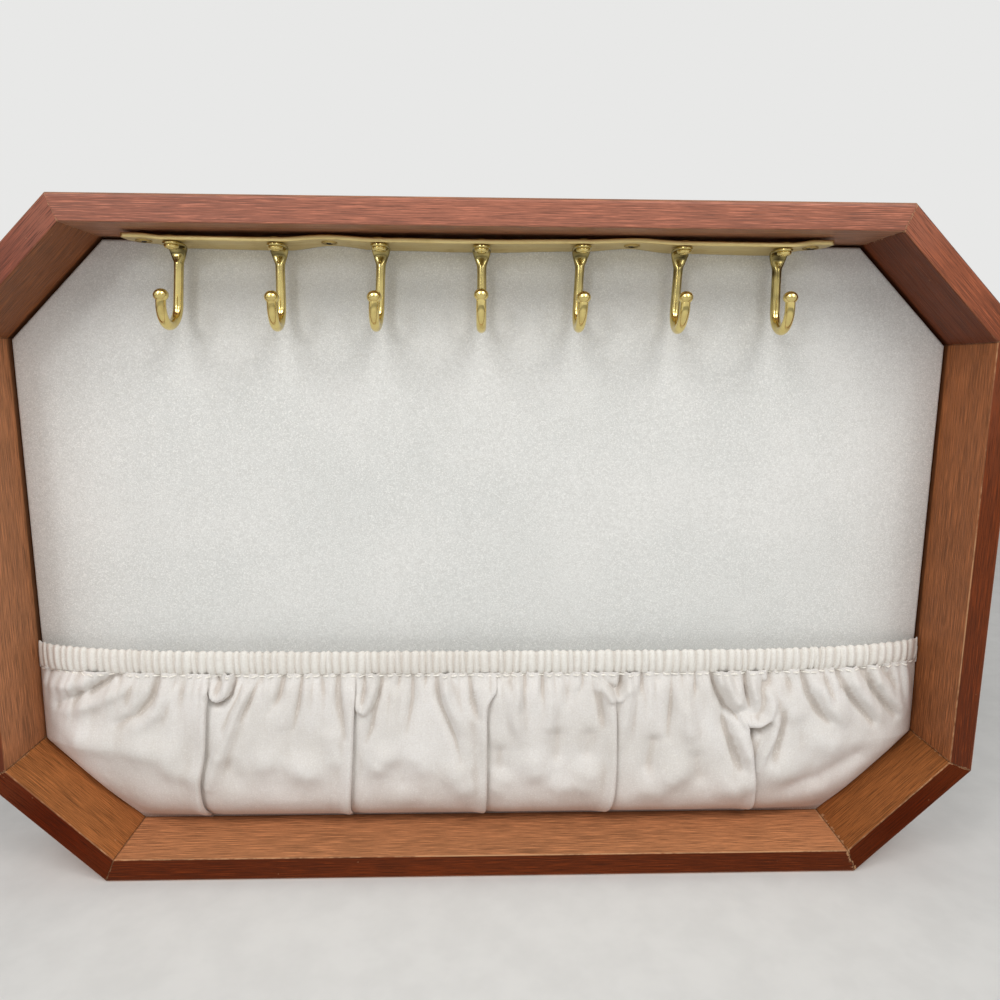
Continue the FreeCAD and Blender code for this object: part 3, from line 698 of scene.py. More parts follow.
def strip_piece(material):
    low_end = STRIP_MIDDLE - STRIP_HALF + STRIP_TIP_GAPS[0]
    high_end = STRIP_MIDDLE + STRIP_HALF - STRIP_TIP_GAPS[1]
    rings = []
    for share in shares(STRIP_STATIONS):
        across = between(low_end, high_end, share)
        from_end = min(across - low_end, high_end - across)
        front_inset = end_inset(from_end, STRIP_END_ROUND)
        rear_inset = end_inset(from_end, STRIP_REAR_ROUND)
        thin = min(1.0, 0.55 + from_end / 0.8)
        lift = strip_drop(across)
        raised = max(0.0, lift - STRIP_SCREW_LIFT) / (STRIP_STAND_OFF - STRIP_SCREW_LIFT)
        middle_out = STRIP_MID_OUT + 0.12 * ripple(across / 22, 8.3, 0) - STRIP_REAR_SPREAD / 2
        half_width = (STRIP_WIDTH + STRIP_REAR_SPREAD - front_inset - rear_inset) / 2 - STRIP_SIDE_TRIM
        level = lift + STRIP_THICKNESS / 2 + 0.05 * ripple(across / 9, 3.1, 0)
        ring = []
        for out, rise in oblong(half_width, STRIP_THICKNESS / 2 * thin, STRIP_EDGE_ROUND * thin):
            out += (rear_inset - front_inset) / 2
            drop = level - rise + 0.03 * ripple(across / 4, out / 4, rise)
            drop += STRIP_REAR_DROOP * raised * max(0.0, -out / half_width) ** 1.5
            ring.append(below_top(across, middle_out + out, drop))
        rings.append(ring)
    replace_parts(mesh_piece("strip", *ringed(rings), material, "strip_brass"), "hook_strip")


# Sections of a rivet, radius and drop: rolled rim under the foot, and head above the strip
RIVET_RIM = ((0.02, -0.9), (0.84, -0.88), (0.94, -0.7), (0.98, 0.2), (1.03, 0.7), (1.18, 0.98), (1.45, 1.12),
             (1.76, 1.08), (2.03, 0.9), (2.21, 0.62), (2.28, 0.3), (2.26, 0.02), (2.15, -0.06), (1.3, -0.06))
RIVET_HEAD = ((1.3, 0.0), (2.1, 0.02), (2.12, 0.15), (1.9, 0.3), (1.1, 0.38), (0.02, 0.4))
RIVET_GRIP = STRIP_THICKNESS + FOOT_SEAT_GAP + FOOT_THICKNESS


def rivets_piece(material):
    profile = [*RIVET_RIM, *((radius, -RIVET_GRIP - rise) for radius, rise in RIVET_HEAD)]
    runs = []
    for across, lift in zip(HOOK_PLACES, RIVET_LIFTS):
        place = below_top(across, RIVET_OUT, lift + RIVET_GRIP)
        runs.append([level_ring(place, radius, -drop, RIVET_SIDES) for radius, drop in profile])
    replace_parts(mesh_piece("rivets", *joined(runs), material, "hook_brass"), "hook_rivets")


# Depth of the cross recess at a place on a screw's head
def cross_depth(x, y, turn):
    along = x * cos(turn) + y * sin(turn)
    aside = y * cos(turn) - x * sin(turn)
    deepest = 0.0
    for run, width in ((along, aside), (aside, along)):
        wall = eased((RECESS_HALF_WIDTH - abs(width)) / 0.16)
        end = eased((RECESS_REACH - abs(run)) / 0.4)
        deepest = max(deepest, wall * end * (RECESS_DEPTH - 0.05 * abs(run)))
    return deepest


SCREW_SHANK = ((2.58, 0.0), (2.5, 0.14), (1.42, 1.2), (1.4, 5.2), (0.3, 7.2), (0.02, 7.3))


def screws_piece(material):
    runs, recess_shade = [], []
    for number, across in enumerate(SCREW_PLACES):
        place = below_top(across, STRIP_MID_OUT, STRIP_THICKNESS + STRIP_SCREW_LIFT)
        rings = []
        for share in shares(SCREW_HEAD_RINGS):
            radius = max(0.02, (SCREW_HEAD_RADIUS - 0.12) * share)
            ring = level_ring(place, radius, 0.0, SCREW_SIDES)
            rise = SCREW_HEAD_RISE + SCREW_HEAD_DOME * (1 - (radius / SCREW_HEAD_RADIUS) ** 2)
            for point, (x, y) in zip(ring, circle(SCREW_SIDES)):
                depth = cross_depth(radius * x, radius * y, SCREW_FIRST_TURN + number * SCREW_TURN_STEP)
                point.z += (depth - rise) * MM
                # The cross recesses are painted dark, as shade
                recess_shade.append(min(1.0, depth / 0.12))
            rings.append(ring)
        rings += [level_ring(place, radius, rise, SCREW_SIDES) for radius, rise in SCREW_SHANK]
        recess_shade += [0.0] * (len(SCREW_SHANK) * SCREW_SIDES)
        runs.append(rings)
    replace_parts(mesh_piece("screws", *joined(runs), material, "aged_brass", recess_shade), "strip_screws")


# Hook rows: place along, out, drop below the strip, heading, half width, half thickness, squareness
def hook_rows():
    foot_middle = FOOT_SEAT_GAP + FOOT_THICKNESS / 2
    half_thick = FOOT_THICKNESS / 2
    rows = []
    for share in shares(8):
        ahead, aside = cos(radians(90 * share)), sin(radians(90 * share))
        rows.append((-FOOT_RADIUS * ahead, RIVET_OUT + FOOT_RADIUS * ahead, foot_middle, 0,
                     max(0.35, FOOT_RADIUS * aside), half_thick * (0.72 + 0.28 * aside), 4.0))
    rows += [
        (1.6, RIVET_OUT - 1.6, foot_middle, 0, 2.85, half_thick, 4.0),
        (3.6, RIVET_OUT - 3.6, foot_middle + 0.02, 4, 3.0, 0.56, 4.0),
        (4.9, RIVET_OUT - 4.8, foot_middle + 0.35, 35, 3.0, 0.6, 3.8),
        (5.9, HOOK_STEM_OUT + 0.75, foot_middle + 1.05, 66, 2.9, 0.66, 3.6),
        (7.4, HOOK_STEM_OUT + 0.3, foot_middle + 2.4, 80, 2.5, 0.86, 3.2),
        (9.2, HOOK_STEM_OUT + 0.1, foot_middle + 4.1, 86, 1.95, 1.25, 2.5),
    ]
    rod = (ROD_RADIUS, ROD_RADIUS, 2.0)
    neck_drop = foot_middle + HOOK_NECK_DROP
    bend_drop = HOOK_LENGTH - ROD_RADIUS - HOOK_BEND_RADIUS
    rows.append((HOOK_NECK_END, HOOK_STEM_OUT, neck_drop, 90, *rod))
    for share in shares(12):
        angle = radians(180 * share)
        rows.append((HOOK_NECK_END + bend_drop - neck_drop + HOOK_BEND_RADIUS * angle,
                     HOOK_STEM_OUT + HOOK_BEND_RADIUS * (1 - cos(angle)),
                     bend_drop + HOOK_BEND_RADIUS * sin(angle), 90 + 180 * share, *rod))
    return rows


HOOK_ROWS = hook_rows()

# Painted shade and dark reflections along a hook, laid on as dark dirt: rows of place and share, from the
# foot over the neck, and a share for each stem
SHADE_AND_TARNISH_ROWS = ((-4.0, 0.2), (1.0, 0.3), (3.6, 0.5), (5.4, 0.68), (8.2, 0.6), (11.0, 0.3), (15.0, 0.08),
                (20.0, 0.0))
STEM_SHADE_AND_TARNISH = (0.05, 0.1, 0.12, 0.2, 0.28, 0.36, 0.42)


def hook_ring(across, out, drop, heading_deg, half_width, half_thick, square):
    heading = radians(heading_deg)
    ring = []
    for along, aside in circle(HOOK_SIDES):
        x = copysign(abs(along) ** (2 / square), along) * half_width
        thick = copysign(abs(aside) ** (2 / square), aside) * half_thick
        ring.append(below_top(across + x, out + thick * sin(heading), drop + thick * cos(heading)))
    return ring


def hook_piece(number, material):
    across = HOOK_PLACES[number]
    underside = RIVET_LIFTS[number] + STRIP_THICKNESS
    rings, tarnish = [], []
    for station in shares(HOOK_STATIONS):
        place = between(HOOK_ROWS[0][0], HOOK_ROWS[-1][0], station)
        out, drop, *section = smooth_row(HOOK_ROWS, place)
        rings.append(hook_ring(across, out, underside + drop, *section))
        # Painted shade and dark reflections: heaviest on the neck, and on the stems more for the hooks
        # further right
        share = smooth_row(SHADE_AND_TARNISH_ROWS, place)[0]
        share += STEM_SHADE_AND_TARNISH[number] * eased((place - 8) / 4) * eased((28 - place) / 8)
        tarnish += [share * (1 + 0.6 * noise.noise(point * 400)) for point in rings[-1]]

    # The ball on the tip, over a short neck
    tip_out = HOOK_STEM_OUT + 2 * HOOK_BEND_RADIUS
    bend_drop = underside + HOOK_LENGTH - ROD_RADIUS - HOOK_BEND_RADIUS
    ball_drop = bend_drop - HOOK_TIP_RISE * TIP_RISE_SHARES[number]
    entry = acos(ROD_RADIUS / BALL_RADIUS)
    entry_drop = min(bend_drop, ball_drop + BALL_HALF_HEIGHT * sin(entry) + 0.1)
    rings.append(hook_ring(across, tip_out, entry_drop, 270, ROD_RADIUS, ROD_RADIUS, 2.0))
    for share in shares(BALL_STEPS):
        slant = radians(between(-degrees(entry), 89, share))
        radius = BALL_RADIUS * cos(slant)
        drop = ball_drop - BALL_HALF_HEIGHT * sin(slant)
        rings.append(hook_ring(across, tip_out, drop, 270, radius, radius, 2.0))

    # Its own lean and turn about the rivet
    foot_place = below_top(across, RIVET_OUT, underside + FOOT_SEAT_GAP + FOOT_THICKNESS)
    slope = tan(radians(HOOK_LEAN_DEG[number]))
    turn = Matrix.Rotation(radians(HOOK_TURN_DEG[number]), 3, "Z")
    points, faces = ringed(rings)
    for point in points:
        point.x += slope * max(0.0, foot_place.z - point.z)
        point.xyz = foot_place + turn @ (point - foot_place)
    tarnish += [0.0] * (len(points) - len(tarnish))
    name = "hook_%d" % (number + 1)
    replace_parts(mesh_piece("formed_" + name, points, faces, material, "hook_brass", tarnish), name)


# Pocket: half width of the opening at a height, and the general bulge of the cloth
def pocket_half(up):
    return INNER_HALF - max(0.0, CORNER_CUT - up) - POCKET_SIDE_GAP


SEAM_HALF = pocket_half(STITCH_UP)
BULGE_ROWS = ((0.0, 0.02), (1.0, 0.1), (2.0, 0.19), (3.5, 0.35), (5.5, 0.55), (8.5, 0.76), (13.0, 0.92),
              (20.0, 0.99), (28.0, 1.0), (38.0, 0.96), (48.0, 0.86), (54.0, 0.76), (58.6, 0.66), (62.0, 0.64))


def pocket_base(across, up):
    share = min(1.0, abs(across) / pocket_half(up))
    crest = max(POCKET_EDGE_OUT, POCKET_BULGE * smooth_row(BULGE_ROWS, up)[0])
    return POCKET_EDGE_OUT + (crest - POCKET_EDGE_OUT) * sqrt(max(0.0, 1 - share ** POCKET_SQUARENESS))


# Pleats: rows of height, across and depth share from the floor to the stitch line
PLEATS = (
    ((0, -102.1, 0.8), (9, -102.1, 1), (16, -102, 1), (19, -101.8, 1), (33, -99.4, 0.85), (45, -98.4, 0.95),
     (54, -97.6, 0.8), (58.6, -97, 0.3)),
    ((0, -50, 0.8), (8, -49.3, 1), (21, -48.2, 1), (36, -47.3, 0.95), (54, -46.2, 0.75), (58.6, -45.8, 0.35)),
    ((0, -0.6, 0.8), (16, 0, 1), (36, 0.1, 1), (46, 0.1, 0.95), (49, 0.8, 0.85), (53, 3.2, 0.8),
     (58.6, 4.3, 0.5)),
    ((0, 43.8, 0.8), (3, 44.6, 0.9), (14.5, 46.2, 1), (23, 46.5, 0.95), (38, 46.3, 0.85), (49, 46.2, 0.6),
     (58.6, 46.2, 0.1)),
    ((0, 99.2, 0.7), (8, 98.5, 1), (15, 97.5, 1), (27, 95.8, 1), (37, 94.5, 0.9), (42, 93.3, 0.5),
     (58.6, 88, 0.05)),
)

# Section through a pleat: the left side laps over the right one, with a return under it
PLEAT_SECTION = (
    (-7, 0), (-4.2, 0.15), (-2.2, 0.5), (-0.9, 0.78), (-0.2, 0.72), (0.05, 0.45), (-0.15, 0.12), (-0.8, -0.1),
    (-1.5, -0.26), (-1.7, -0.5), (-1.2, -0.68), (-0.3, -0.72), (0.9, -0.6), (2.4, -0.36), (4.4, -0.14),
    (7, 0),
)
PLEAT_REACH = 7.0
PLEAT_RELIEF = 2.15
PLEAT_STEPS = 44
PLEAT_WAY = [smooth_row([(number, *place) for number, place in enumerate(PLEAT_SECTION)],
                        (len(PLEAT_SECTION) - 1) * step / PLEAT_STEPS) for step in range(PLEAT_STEPS)]
BAY_STEPS = 74
POCKET_LEVELS = 120
FOLD_WINDOW = 5
FOLD_DEPTH = 0.7

# Folds where the photograph shows them: height, width, then across and down in its frame of 1000 by 1000
SEEN_FOLDS = (
    (-1.2, 1.1, 38, 677, 60, 675, 88, 677), (1, 2.4, 50, 688, 80, 684, 108, 672),
    (-1.9, 1.9, 122, 668, 117, 679, 105, 687, 90, 695, 60, 706),
    (1, 2.6, 70, 712, 100, 702, 122, 690, 134, 672), (-1, 1.5, 128, 668, 124, 682, 117, 692),
    (-1.3, 1.8, 163, 668, 160, 682, 154, 697, 147, 707, 135, 718, 119, 725),
    (0.9, 2.4, 140, 728, 158, 712, 167, 694, 172, 672), (-0.8, 1.4, 180, 668, 177, 680, 171, 694),
    (1.4, 5, 80, 740, 125, 748, 165, 756), (0.9, 4, 190, 776, 170, 770),
    (1.5, 1.1, 209, 690, 212, 698, 218, 701, 225, 696, 229, 684, 230, 668),
    (-1.6, 1.2, 209, 700, 213, 706, 222, 706, 230, 698, 235, 684, 237, 668),
    (-1.1, 1, 217, 672, 217, 684, 220, 689),
    (1.3, 2.2, 209, 788, 216, 765, 223, 742, 235, 714, 247, 694, 256, 668),
    (-1.1, 1.6, 248, 668, 245, 684, 236, 703, 226, 728, 219, 752),
    (-0.9, 1.5, 262, 668, 259, 682, 250, 702, 240, 720), (-1.1, 1.5, 285, 668, 283, 682, 279, 697, 271, 712),
    (-0.9, 1.5, 303, 668, 302, 684, 299, 704, 293, 730), (-0.9, 1.4, 321, 668, 320, 682, 323, 694),
    (-0.9, 1.4, 337, 668, 338, 684, 341, 710, 346, 738), (1.9, 5.2, 305, 769, 310, 771),
    (1, 4.6, 264, 764, 270, 762), (-0.9, 4, 230, 770, 236, 778), (-0.7, 4, 286, 738, 290, 752),
    (0.9, 3, 334, 760, 330, 740), (1.2, 1.1, 356, 700, 359, 709, 364, 712, 369, 704, 373, 690, 376, 668),
    (-1.1, 1, 364, 672, 365, 690, 364, 702), (-1.1, 1.5, 386, 668, 383, 684, 376, 704, 372, 728, 367, 742),
    (-1, 1.3, 399, 668, 398, 682, 395, 694), (-1, 1.5, 411, 668, 412, 684, 412, 702, 407, 732),
    (-0.8, 1.3, 425, 668, 426, 688), (-1.1, 1.6, 433, 668, 436, 690, 441, 706, 448, 724, 455, 740, 461, 762),
    (0.9, 2, 442, 668, 447, 692, 455, 712, 463, 730), (-1, 1.4, 467, 668, 469, 684, 473, 702, 479, 718),
    (1.8, 4.6, 379, 764, 383, 758), (0.9, 4.2, 418, 760, 422, 766), (1.9, 5.2, 459, 776, 464, 784),
    (-0.7, 4, 398, 770, 402, 782), (-0.9, 1.2, 508, 668, 508, 690), (-0.9, 1.2, 525, 668, 526, 690),
    (-0.9, 1.3, 540, 668, 542, 684, 541, 696), (-1.1, 1.5, 566, 668, 567, 684, 568, 706),
    (-0.9, 1.4, 583, 668, 582, 686, 577, 702), (-0.8, 1.6, 594, 690, 600, 706, 604, 726),
    (0.9, 2.2, 516, 690, 514, 712, 520, 740), (0.8, 2.4, 552, 690, 550, 716, 548, 736),
    (-1.1, 3.2, 500, 754, 501, 766), (-1, 2.8, 558, 738, 556, 756), (-1, 3, 590, 738, 588, 754),
    (1.3, 4.4, 534, 764, 536, 770), (1.4, 4.6, 586, 776, 583, 784), (0.9, 4, 556, 784, 560, 786),
    (0.8, 3.6, 501, 782, 498, 788), (1, 1.2, 599, 672, 604, 688, 611, 698, 620, 700, 626, 690, 628, 672),
    (-1.5, 1.4, 603, 680, 609, 688, 617, 693, 621, 686, 621, 674), (-1, 1.4, 642, 668, 642, 684, 640, 696),
    (1, 2, 632, 672, 629, 696, 625, 720, 622, 744), (-1.2, 1.5, 672, 668, 672, 684, 672, 704, 668, 738),
    (-0.9, 1.3, 659, 668, 660, 688), (-0.9, 1.3, 684, 668, 684, 686), (-1, 1.3, 697, 668, 697, 684, 695, 696),
    (-1.4, 2.8, 654, 744, 650, 766), (-0.9, 3.2, 697, 760, 700, 776), (2, 5.2, 670, 776, 676, 772),
    (2.1, 5.4, 733, 786, 740, 782), (1, 4.2, 650, 788, 656, 790), (1, 2.6, 684, 700, 688, 724, 692, 744),
    (-1.9, 1.5, 710, 668, 714, 684, 719, 698, 727, 711, 737, 717, 743, 712),
    (1.4, 2, 722, 668, 728, 684, 735, 700, 742, 706), (-1.3, 1.9, 722, 712, 726, 730, 732, 748, 739, 766),
    (1.1, 2.2, 734, 724, 742, 744, 748, 762), (1.2, 1.4, 755, 668, 752, 688, 756, 708),
    (-1.1, 1.2, 746, 668, 746, 690, 749, 706),
    (1.7, 1.6, 742, 718, 749, 723, 758, 723, 767, 717, 771, 704, 769, 692),
    (-2, 1.4, 752, 740, 753, 733, 760, 731, 769, 725),
    (1.5, 1.8, 776, 712, 775, 724, 770, 738, 762, 752, 757, 768), (-1, 1.8, 783, 716, 781, 738, 774, 760),
    (-1.4, 1.6, 770, 668, 770, 684, 763, 690), (-1, 1.3, 780, 668, 779, 682),
    (-1.1, 1.3, 788, 666, 790, 680, 792, 692), (-1.3, 1.6, 801, 664, 803, 680, 808, 696, 815, 710, 827, 722),
    (-1, 1.4, 819, 664, 822, 680, 829, 694), (-1.7, 1.6, 835, 662, 838, 676, 843, 690, 853, 703, 872, 724),
    (-1.5, 1.6, 858, 660, 863, 674, 871, 690, 881, 704, 894, 716), (-1.1, 1.4, 876, 660, 884, 676, 893, 688),
    (1.2, 2.4, 812, 668, 818, 688, 828, 706, 842, 722), (1.1, 2.4, 848, 664, 854, 682, 864, 698, 880, 718),
    (1, 2.2, 870, 662, 878, 682, 890, 700, 902, 714), (2.1, 6.4, 774, 770, 784, 768),
    (1.3, 5, 822, 740, 830, 744), (1.1, 4, 790, 704, 794, 712), (-1.1, 4, 792, 786, 820, 778, 856, 756),
)
RIDGE_RELIEF = 2.0
BULGE_WIDTH = 2.7
FRAME_SPAN = 1000
FRAME_SCALE = 2.8
SIGHT_ROUNDS = 40
SIGHT_EASE = 0.8


# Place across and up on the pocket's front that a place of the photograph shows
def on_pocket(x, y):
    sight = camera_turn().inverted()
    across, up = 0.0, STITCH_UP / 2
    for sight_round in range(SIGHT_ROUNDS):
        seen = sight @ Vector((across - CAMERA_ACROSS, CAMERA_OUT - pocket_base(across, up),
                               up - INNER_HEIGHT / 2 - CAMERA_RISE))
        seen_x = FRAME_SPAN * (0.5 - LENS_SHARE * seen.x / seen.z)
        seen_y = FRAME_SPAN * (0.5 + LENS_SHARE * seen.y / seen.z)
        across += (x - seen_x) / FRAME_SCALE
        up += SIGHT_EASE * (seen_y - y) / FRAME_SCALE
        up = min(STITCH_UP + 3.5, max(0.0, up))
    return across, up


# The folds on the cloth, each with the box that it reaches
def placed_folds():
    folds = []
    for height, width, *seen in SEEN_FOLDS:
        points = [on_pocket(x, y) for x, y in zip(seen[::2], seen[1::2])]
        box = [(min(line) - 3 * width, max(line) + 3 * width) for line in zip(*points)]
        folds.append((height, width, points, box))
    return folds


FOLDS = placed_folds()


# Distance from a place to a line of points, and how far along the line that is
def line_distance(across, up, points):
    best, best_share = 1e9, 0.0
    count = len(points) - 1
    for index in range(count):
        (x0, z0), (x1, z1) = points[index], points[index + 1]
        dx, dz = x1 - x0, z1 - z0
        share = min(1.0, max(0.0, ((across - x0) * dx + (up - z0) * dz) / (dx * dx + dz * dz)))
        distance = hypot(across - x0 - dx * share, up - z0 - dz * share)
        if distance < best:
            best, best_share = distance, (index + share) / count
    return best, best_share


# Limits of the seeded gathers, ribs and stitches
GATHER_GAPS = (2.5, 5.2)
GATHER_LENGTHS = (5.0, 17.0)
GATHER_STRENGTHS = (0.9, 2.3)
GATHER_WIDTHS = (0.7, 1.2)
RIB_GAPS = (1.9, 3.4)
RIB_STRENGTHS = (0.6, 1.0)
RIB_TILTS = (-0.05, 0.05)
STITCH_LENGTHS = (1.9, 2.5)
STITCH_TILTS = (-0.22, 0.22)
STITCH_LIFTS = (0.2, 0.42)


# Fine gathers under the stitches: place, length, strength and width
def gather_rows():
    dice = random.Random(11)
    rows = []
    across = -INNER_HALF
    while across < INNER_HALF:
        across += dice.uniform(*GATHER_GAPS)
        rows.append((across, dice.uniform(*GATHER_LENGTHS), dice.uniform(*GATHER_STRENGTHS),
                     dice.uniform(*GATHER_WIDTHS)))
    return rows


# Ribs of the casing: place, half width, strength and tilt
def rib_rows():
    dice = random.Random(23)
    rows = []
    across = -SEAM_HALF - 1
    while across < SEAM_HALF + 1:
        gap = dice.uniform(*RIB_GAPS)
        rows.append((across + gap / 2, gap / 2, dice.uniform(*RIB_STRENGTHS), dice.uniform(*RIB_TILTS)))
        across += gap
    return rows


GATHERS = gather_rows()
RIBS = rib_rows()


def rib_height(across, tilt_up):
    height = 0.0
    for place, half, strength, tilt in RIBS:
        away = abs(across - place - tilt * tilt_up) / half
        if away < 1:
            height = max(height, strength * cos(away * pi / 2) ** 1.3)
    return height


def wrinkle(across, up):
    lift = 0.0
    below = STITCH_UP - up
    lean = 1.0 + 0.06 * below / STITCH_UP
    for place, length, strength, width in GATHERS:
        away = (across - place * lean) / (width * (1.0 + 0.07 * below))
        if abs(away) < 3 and below < length * 2:
            lift += strength * exp(-away * away) * exp(-((below / length) ** 2))
    lift += 0.7 * (rib_height(across, 0.0) - 0.5) * exp(-below / 2.2)
    for height, width, points, ((left, right), (low, high)) in FOLDS:
        if left < across < right and low < up < high:
            distance, share = line_distance(across, up, points)
            if distance < 3 * width:
                fade = min(1.0, 0.35 + 2.6 * min(share, 1 - share)) if width < BULGE_WIDTH else 0.8
                lift += RIDGE_RELIEF * height * exp(-(distance / width) ** 2) * fade
    soft = ripple(across / 16, up / 22, 4.7) + 0.5 * ripple(across / 7, up / 12, 9.1)
    lift += 0.9 * soft * eased(up / 10) * eased(below / 5)
    return lift + 0.1 * ripple(across / 2.4, up / 4, 1.9)


# Across places and outward steps of the cloth at one height, pleats included
def pocket_row(up):
    half = pocket_half(up)
    pleats = [smooth_row(rows, up) for rows in PLEATS]
    stops = [-half] + [place for place, depth in pleats] + [half]
    row = []
    for bay in range(len(stops) - 1):
        start = stops[bay] + (PLEAT_REACH if bay > 0 else 0)
        end = stops[bay + 1] - (PLEAT_REACH if bay < len(stops) - 2 else 0)
        for share in shares(BAY_STEPS)[:-1]:
            if bay == 0:
                share = eased(share) * 0.35 + share * 0.65
            row.append((between(start, end, share), 0.0))
        if bay < len(pleats):
            place, depth = pleats[bay]
            opening = min(1.0, depth * 1.25)
            for step, (x, y) in enumerate(PLEAT_WAY):
                flat_x = between(-PLEAT_REACH, PLEAT_REACH, step / PLEAT_STEPS)
                row.append((place + between(flat_x, max(x, -PLEAT_REACH), opening), PLEAT_RELIEF * y * depth))
    row.append((half, 0.0))
    return row


# How far each point of a row lies back from the mean of its neighbours, as a share of FOLD_DEPTH: the
# strength of the painted shade in the creases
def crease_shade_shares(outs):
    depths = []
    for index, out in enumerate(outs):
        near = outs[max(0, index - FOLD_WINDOW):index + FOLD_WINDOW + 1]
        depths.append(min(1.0, max(0.0, (sum(near) / len(near) - out) / FOLD_DEPTH)))
    return depths


# How far the cloth stands out at a place, with the outward step of a pleat there
def cloth_out(across, up, step=0.0):
    side = eased((pocket_half(up) - abs(across)) / POCKET_SIDE_FADE)
    floor = eased((up - POCKET_FLOOR_GAP) / POCKET_SIDE_FADE)
    to_seam = eased((up - STITCH_UP + SEAM_REACH) / SEAM_REACH)
    lift = wrinkle(across, up) * side * floor + step * (0.2 + 0.8 * floor) * side
    base = between(pocket_base(across, up), casing_front(across) - SEAM_TUCK, to_seam)
    return max(base + lift * (1 - 0.45 * to_seam) - 0.35, POCKET_SEAT_GAP)


def cloth_height(across, up):
    return up + (seam_up(across) - STITCH_UP + SEAM_LAP) * (up / STITCH_UP) ** 3


def pocket_piece(material):
    points, folds = [], []
    for share in shares(POCKET_LEVELS):
        up = between(POCKET_FLOOR_GAP, STITCH_UP, share ** 1.1)
        row = pocket_row(up)
        outs = [cloth_out(across, up, step) for across, step in row]
        points += [inside(across, out, cloth_height(across, up)) for (across, step), out in zip(row, outs)]
        # Painted shade in the creases, stronger the further a point lies back
        folds += crease_shade_shares(outs)
    faces = row_faces(POCKET_LEVELS + 1, len(row), False)
    piece = mesh_piece("gathered_pocket", points, faces, material, "cloth", folds)
    thicken(piece, POCKET_THICKNESS, 1)
    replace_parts(piece, "pocket_cloth")
    return piece


# The casing is pressed thin where its ends are caught behind the felt
def casing_thickness(across):
    from_end = SEAM_HALF - abs(across)
    return CASING_THICKNESS * between(CASING_END_SHARE, 1.0, eased(from_end / CASING_END_REACH))


def casing_front(across):
    edge = casing_thickness(across) + POCKET_SEAT_GAP
    share = min(1.0, abs(across) / SEAM_HALF)
    return edge + (CASING_MID_OUT - edge) * sqrt(max(0.0, 1 - share ** CASING_SQUARENESS))


# Stitch line and top: level in the middle, a little higher towards both ends
def seam_up(across):
    rise = SEAM_END_RISES[0] if across < 0 else SEAM_END_RISES[1]
    return STITCH_UP + SEAM_RISE + rise * (abs(across) / SEAM_HALF) ** SEAM_END_POWER


def casing_top(across):
    return STITCH_UP + CASING_HEIGHT + CASING_END_RISE * (abs(across) / SEAM_HALF) ** SEAM_END_POWER


# Section of the casing: height share, thickness share and how strongly ribs show
CASING_PROFILE = (
    (0, 0.26, 0.5), (0.03, 0.34, 0.8), (0.09, 0.44, 1), (0.2, 0.54, 1), (0.38, 0.6, 1), (0.56, 0.6, 1),
    (0.72, 0.57, 1), (0.84, 0.5, 1), (0.93, 0.38, 0.9), (0.985, 0.22, 0.7), (1, 0.04, 0.6),
    (0.985, -0.14, 0.5), (0.93, -0.26, 0.5), (0.7, -0.3, 0.5), (0.35, -0.3, 0.5), (0.02, -0.2, 0.3),
)


def casing_piece(material):
    half = SEAM_HALF - CASING_END_GAP
    rings, folds = [], []
    for column in shares(CASING_COLUMNS):
        across = between(-half, half, column)
        thickness = casing_thickness(across)
        thinned = thickness / CASING_THICKNESS
        middle = casing_front(across) - thickness / 2
        low = seam_up(across)
        top = casing_top(across) + 0.6 * rib_height(across, CASING_HEIGHT) - 0.45
        top += 0.14 * ripple(across / 5, 0.3, 2.2)
        ring = []
        for up_share, thick_share, rib_share in CASING_PROFILE:
            up = between(low, top, up_share)
            rib = rib_height(across, up - low)
            pinch = 1.0 - 0.2 * exp(-((up - low) / 1.4) ** 2)
            relief = copysign(RIB_RELIEF, thick_share) * thinned * (rib - RIB_LEVEL) * rib_share
            fuzz = 0.05 * ripple(across / 0.8, up / 2, thick_share)
            out = middle + thickness * thick_share * pinch + relief + fuzz
            ring.append(inside(across, max(out, 0.35), up))
            # Painted shade between the ribs
            folds.append(0.75 * (1 - min(1.0, rib / RIB_LEVEL)))
        rings.append(ring)
    piece = mesh_piece("ribbed_casing", *ringed(rings), material, "cloth", folds)
    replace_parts(piece, "pocket_casing")
    return piece


# Stitches: short arched threads along the seam, each a little different
def stitches_piece(material):
    dice = random.Random(5)
    level = STITCH_UP - STITCH_DROP
    runs = []
    across = STITCH_END_GAP - SEAM_HALF
    while across < SEAM_HALF - STITCH_END_GAP:
        length, tilt, lift = (dice.uniform(*pair) for pair in (STITCH_LENGTHS, STITCH_TILTS, STITCH_LIFTS))
        rings = []
        for share in shares(STITCH_STATIONS):
            x = across + length * (share - 0.5)
            z = level + tilt * (share - 0.5) * 2
            arch = sin(pi * share)
            out, up = cloth_out(x, z) + 0.42 + lift * arch, cloth_height(x, z)
            radius = STITCH_RADIUS * (0.55 + 0.45 * arch)
            rings.append([inside(x, out + radius * ahead, up + radius * above)
                          for ahead, above in circle(STITCH_SIDES)])
        runs.append(rings)
        across += STITCH_PITCH * dice.uniform(0.9, 1.1)
    return mesh_piece("seam_stitches", *joined(runs), material, "cloth")


def dress_fittings():
    paint("back_panel", plywood_finish())
    paint("panel_pins", plain_finish("wire_steel", Metallic=1.0))
    paint("liner_board", plain_finish("hardboard"))
    paint("elastic_band", plain_finish("woven_elastic"))
    satin, polished, aged = (brass_finish(name) for name in BRASSES)
    felt_piece(felt_finish())
    strip_piece(satin)
    rivets_piece(polished)
    screws_piece(aged)
    for number in range(HOOK_COUNT):
        hook_piece(number, polished)
    # The pocket and its casing are one cloth; the pocket's colours are a little darker than the casing's, as
    # painted shade
    pocket = pocket_piece(cloth_finish("pocket_cloth", rgb(220, 216, 211), rgb(232, 229, 226)))
    casing = casing_piece(cloth_finish("casing_cloth", rgb(233, 229, 222), rgb(241, 239, 233)))
    stitches = stitches_piece(plain_finish("sewing_thread"))


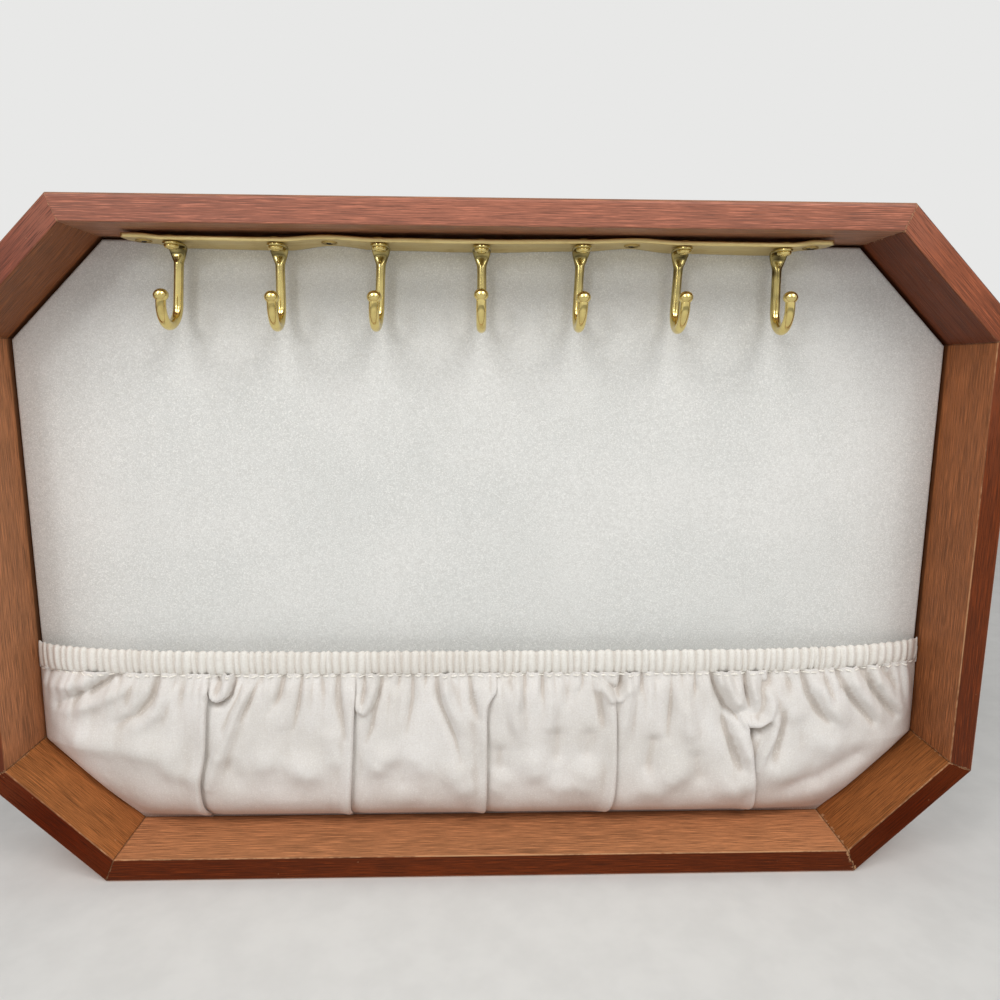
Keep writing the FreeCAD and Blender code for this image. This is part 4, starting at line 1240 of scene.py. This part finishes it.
# Soft lights from the upper left and right, and weak ones from the front: place, size, power and tint
LIGHTS = {
    "right_key": ((0.42, -0.6, 0.86), (0.5, 0.42), 4.1, (1.0, 0.99, 0.97)),
    "left_key": ((-0.42, -0.6, 0.86), (0.5, 0.42), 3.7, (1.0, 0.99, 0.98)),
    "left_front": ((-0.55, -1.0, 0.5), (0.2, 0.2), 1.5, (0.98, 0.99, 1.0)),
    "right_front": ((0.55, -1.0, 0.5), (0.2, 0.2), 0.8, (0.98, 0.99, 1.0)),
}
FLOOR_HALF = 4.0


def stage_lights():
    target = Vector((0, 0, CENTRE_Z * MM))
    for name, (place, size, power, tint) in LIGHTS.items():
        lamp = bpy.data.lights.new(name, "AREA")
        lamp.shape = "RECTANGLE"
        lamp.size, lamp.size_y = size
        lamp.energy = power
        lamp.color = tint
        light = shown(name, lamp)
        light.location = place
        light.rotation_euler = (target - Vector(place)).to_track_quat("-Z", "Y").to_euler()


def stage_floor():
    mesh = bpy.data.meshes.new("floor")
    corners = [(x * FLOOR_HALF, y * FLOOR_HALF, 0) for x, y in ((-1, -1), (1, -1), (1, 1), (-1, 1))]
    mesh.from_pydata(corners, [], [(0, 1, 2, 3)])
    mesh.materials.append(plain_finish("pale_floor"))
    shown("floor", mesh)


# Pale surroundings, brighter where the camera and the reflections see them than as a light
def surroundings():
    sky = Finish("studio", "worlds")
    bpy.context.scene.world = sky.made
    light = sky.tree.nodes["Background"]
    light.inputs["Color"].default_value = (1, 1, 1, 1)
    light.inputs["Strength"].default_value = 0.26
    seen = sky.add("ShaderNodeBackground", {"Color": rgb(232, 232, 231)})[0]
    rays = sky.add("ShaderNodeLightPath", {})
    either = sky.math("MAXIMUM", rays["Is Camera Ray"], rays["Is Glossy Ray"])
    mixed = sky.add("ShaderNodeMixShader", {0: either, 1: light.outputs[0], 2: seen})[0]
    sky.put(sky.tree.nodes["World Output"].inputs[0], mixed)


def photo_camera():
    lens = bpy.data.cameras.new("camera")
    lens.sensor_width = 36.0
    lens.sensor_fit = "HORIZONTAL"
    lens.lens = LENS_SHARE * lens.sensor_width
    lens.clip_start = 0.01
    camera = shown("camera", lens)
    place = Vector((CAMERA_ACROSS, LINER_Y - CAMERA_OUT, CENTRE_Z + CAMERA_RISE)) * MM
    camera.matrix_world = Matrix.Translation(place) @ camera_turn().to_4x4()
    bpy.context.scene.camera = camera


dress_case()
dress_fittings()
stage_floor()
surroundings()
photo_camera()
stage_lights()
bpy.context.scene.view_settings.view_transform = "Standard"
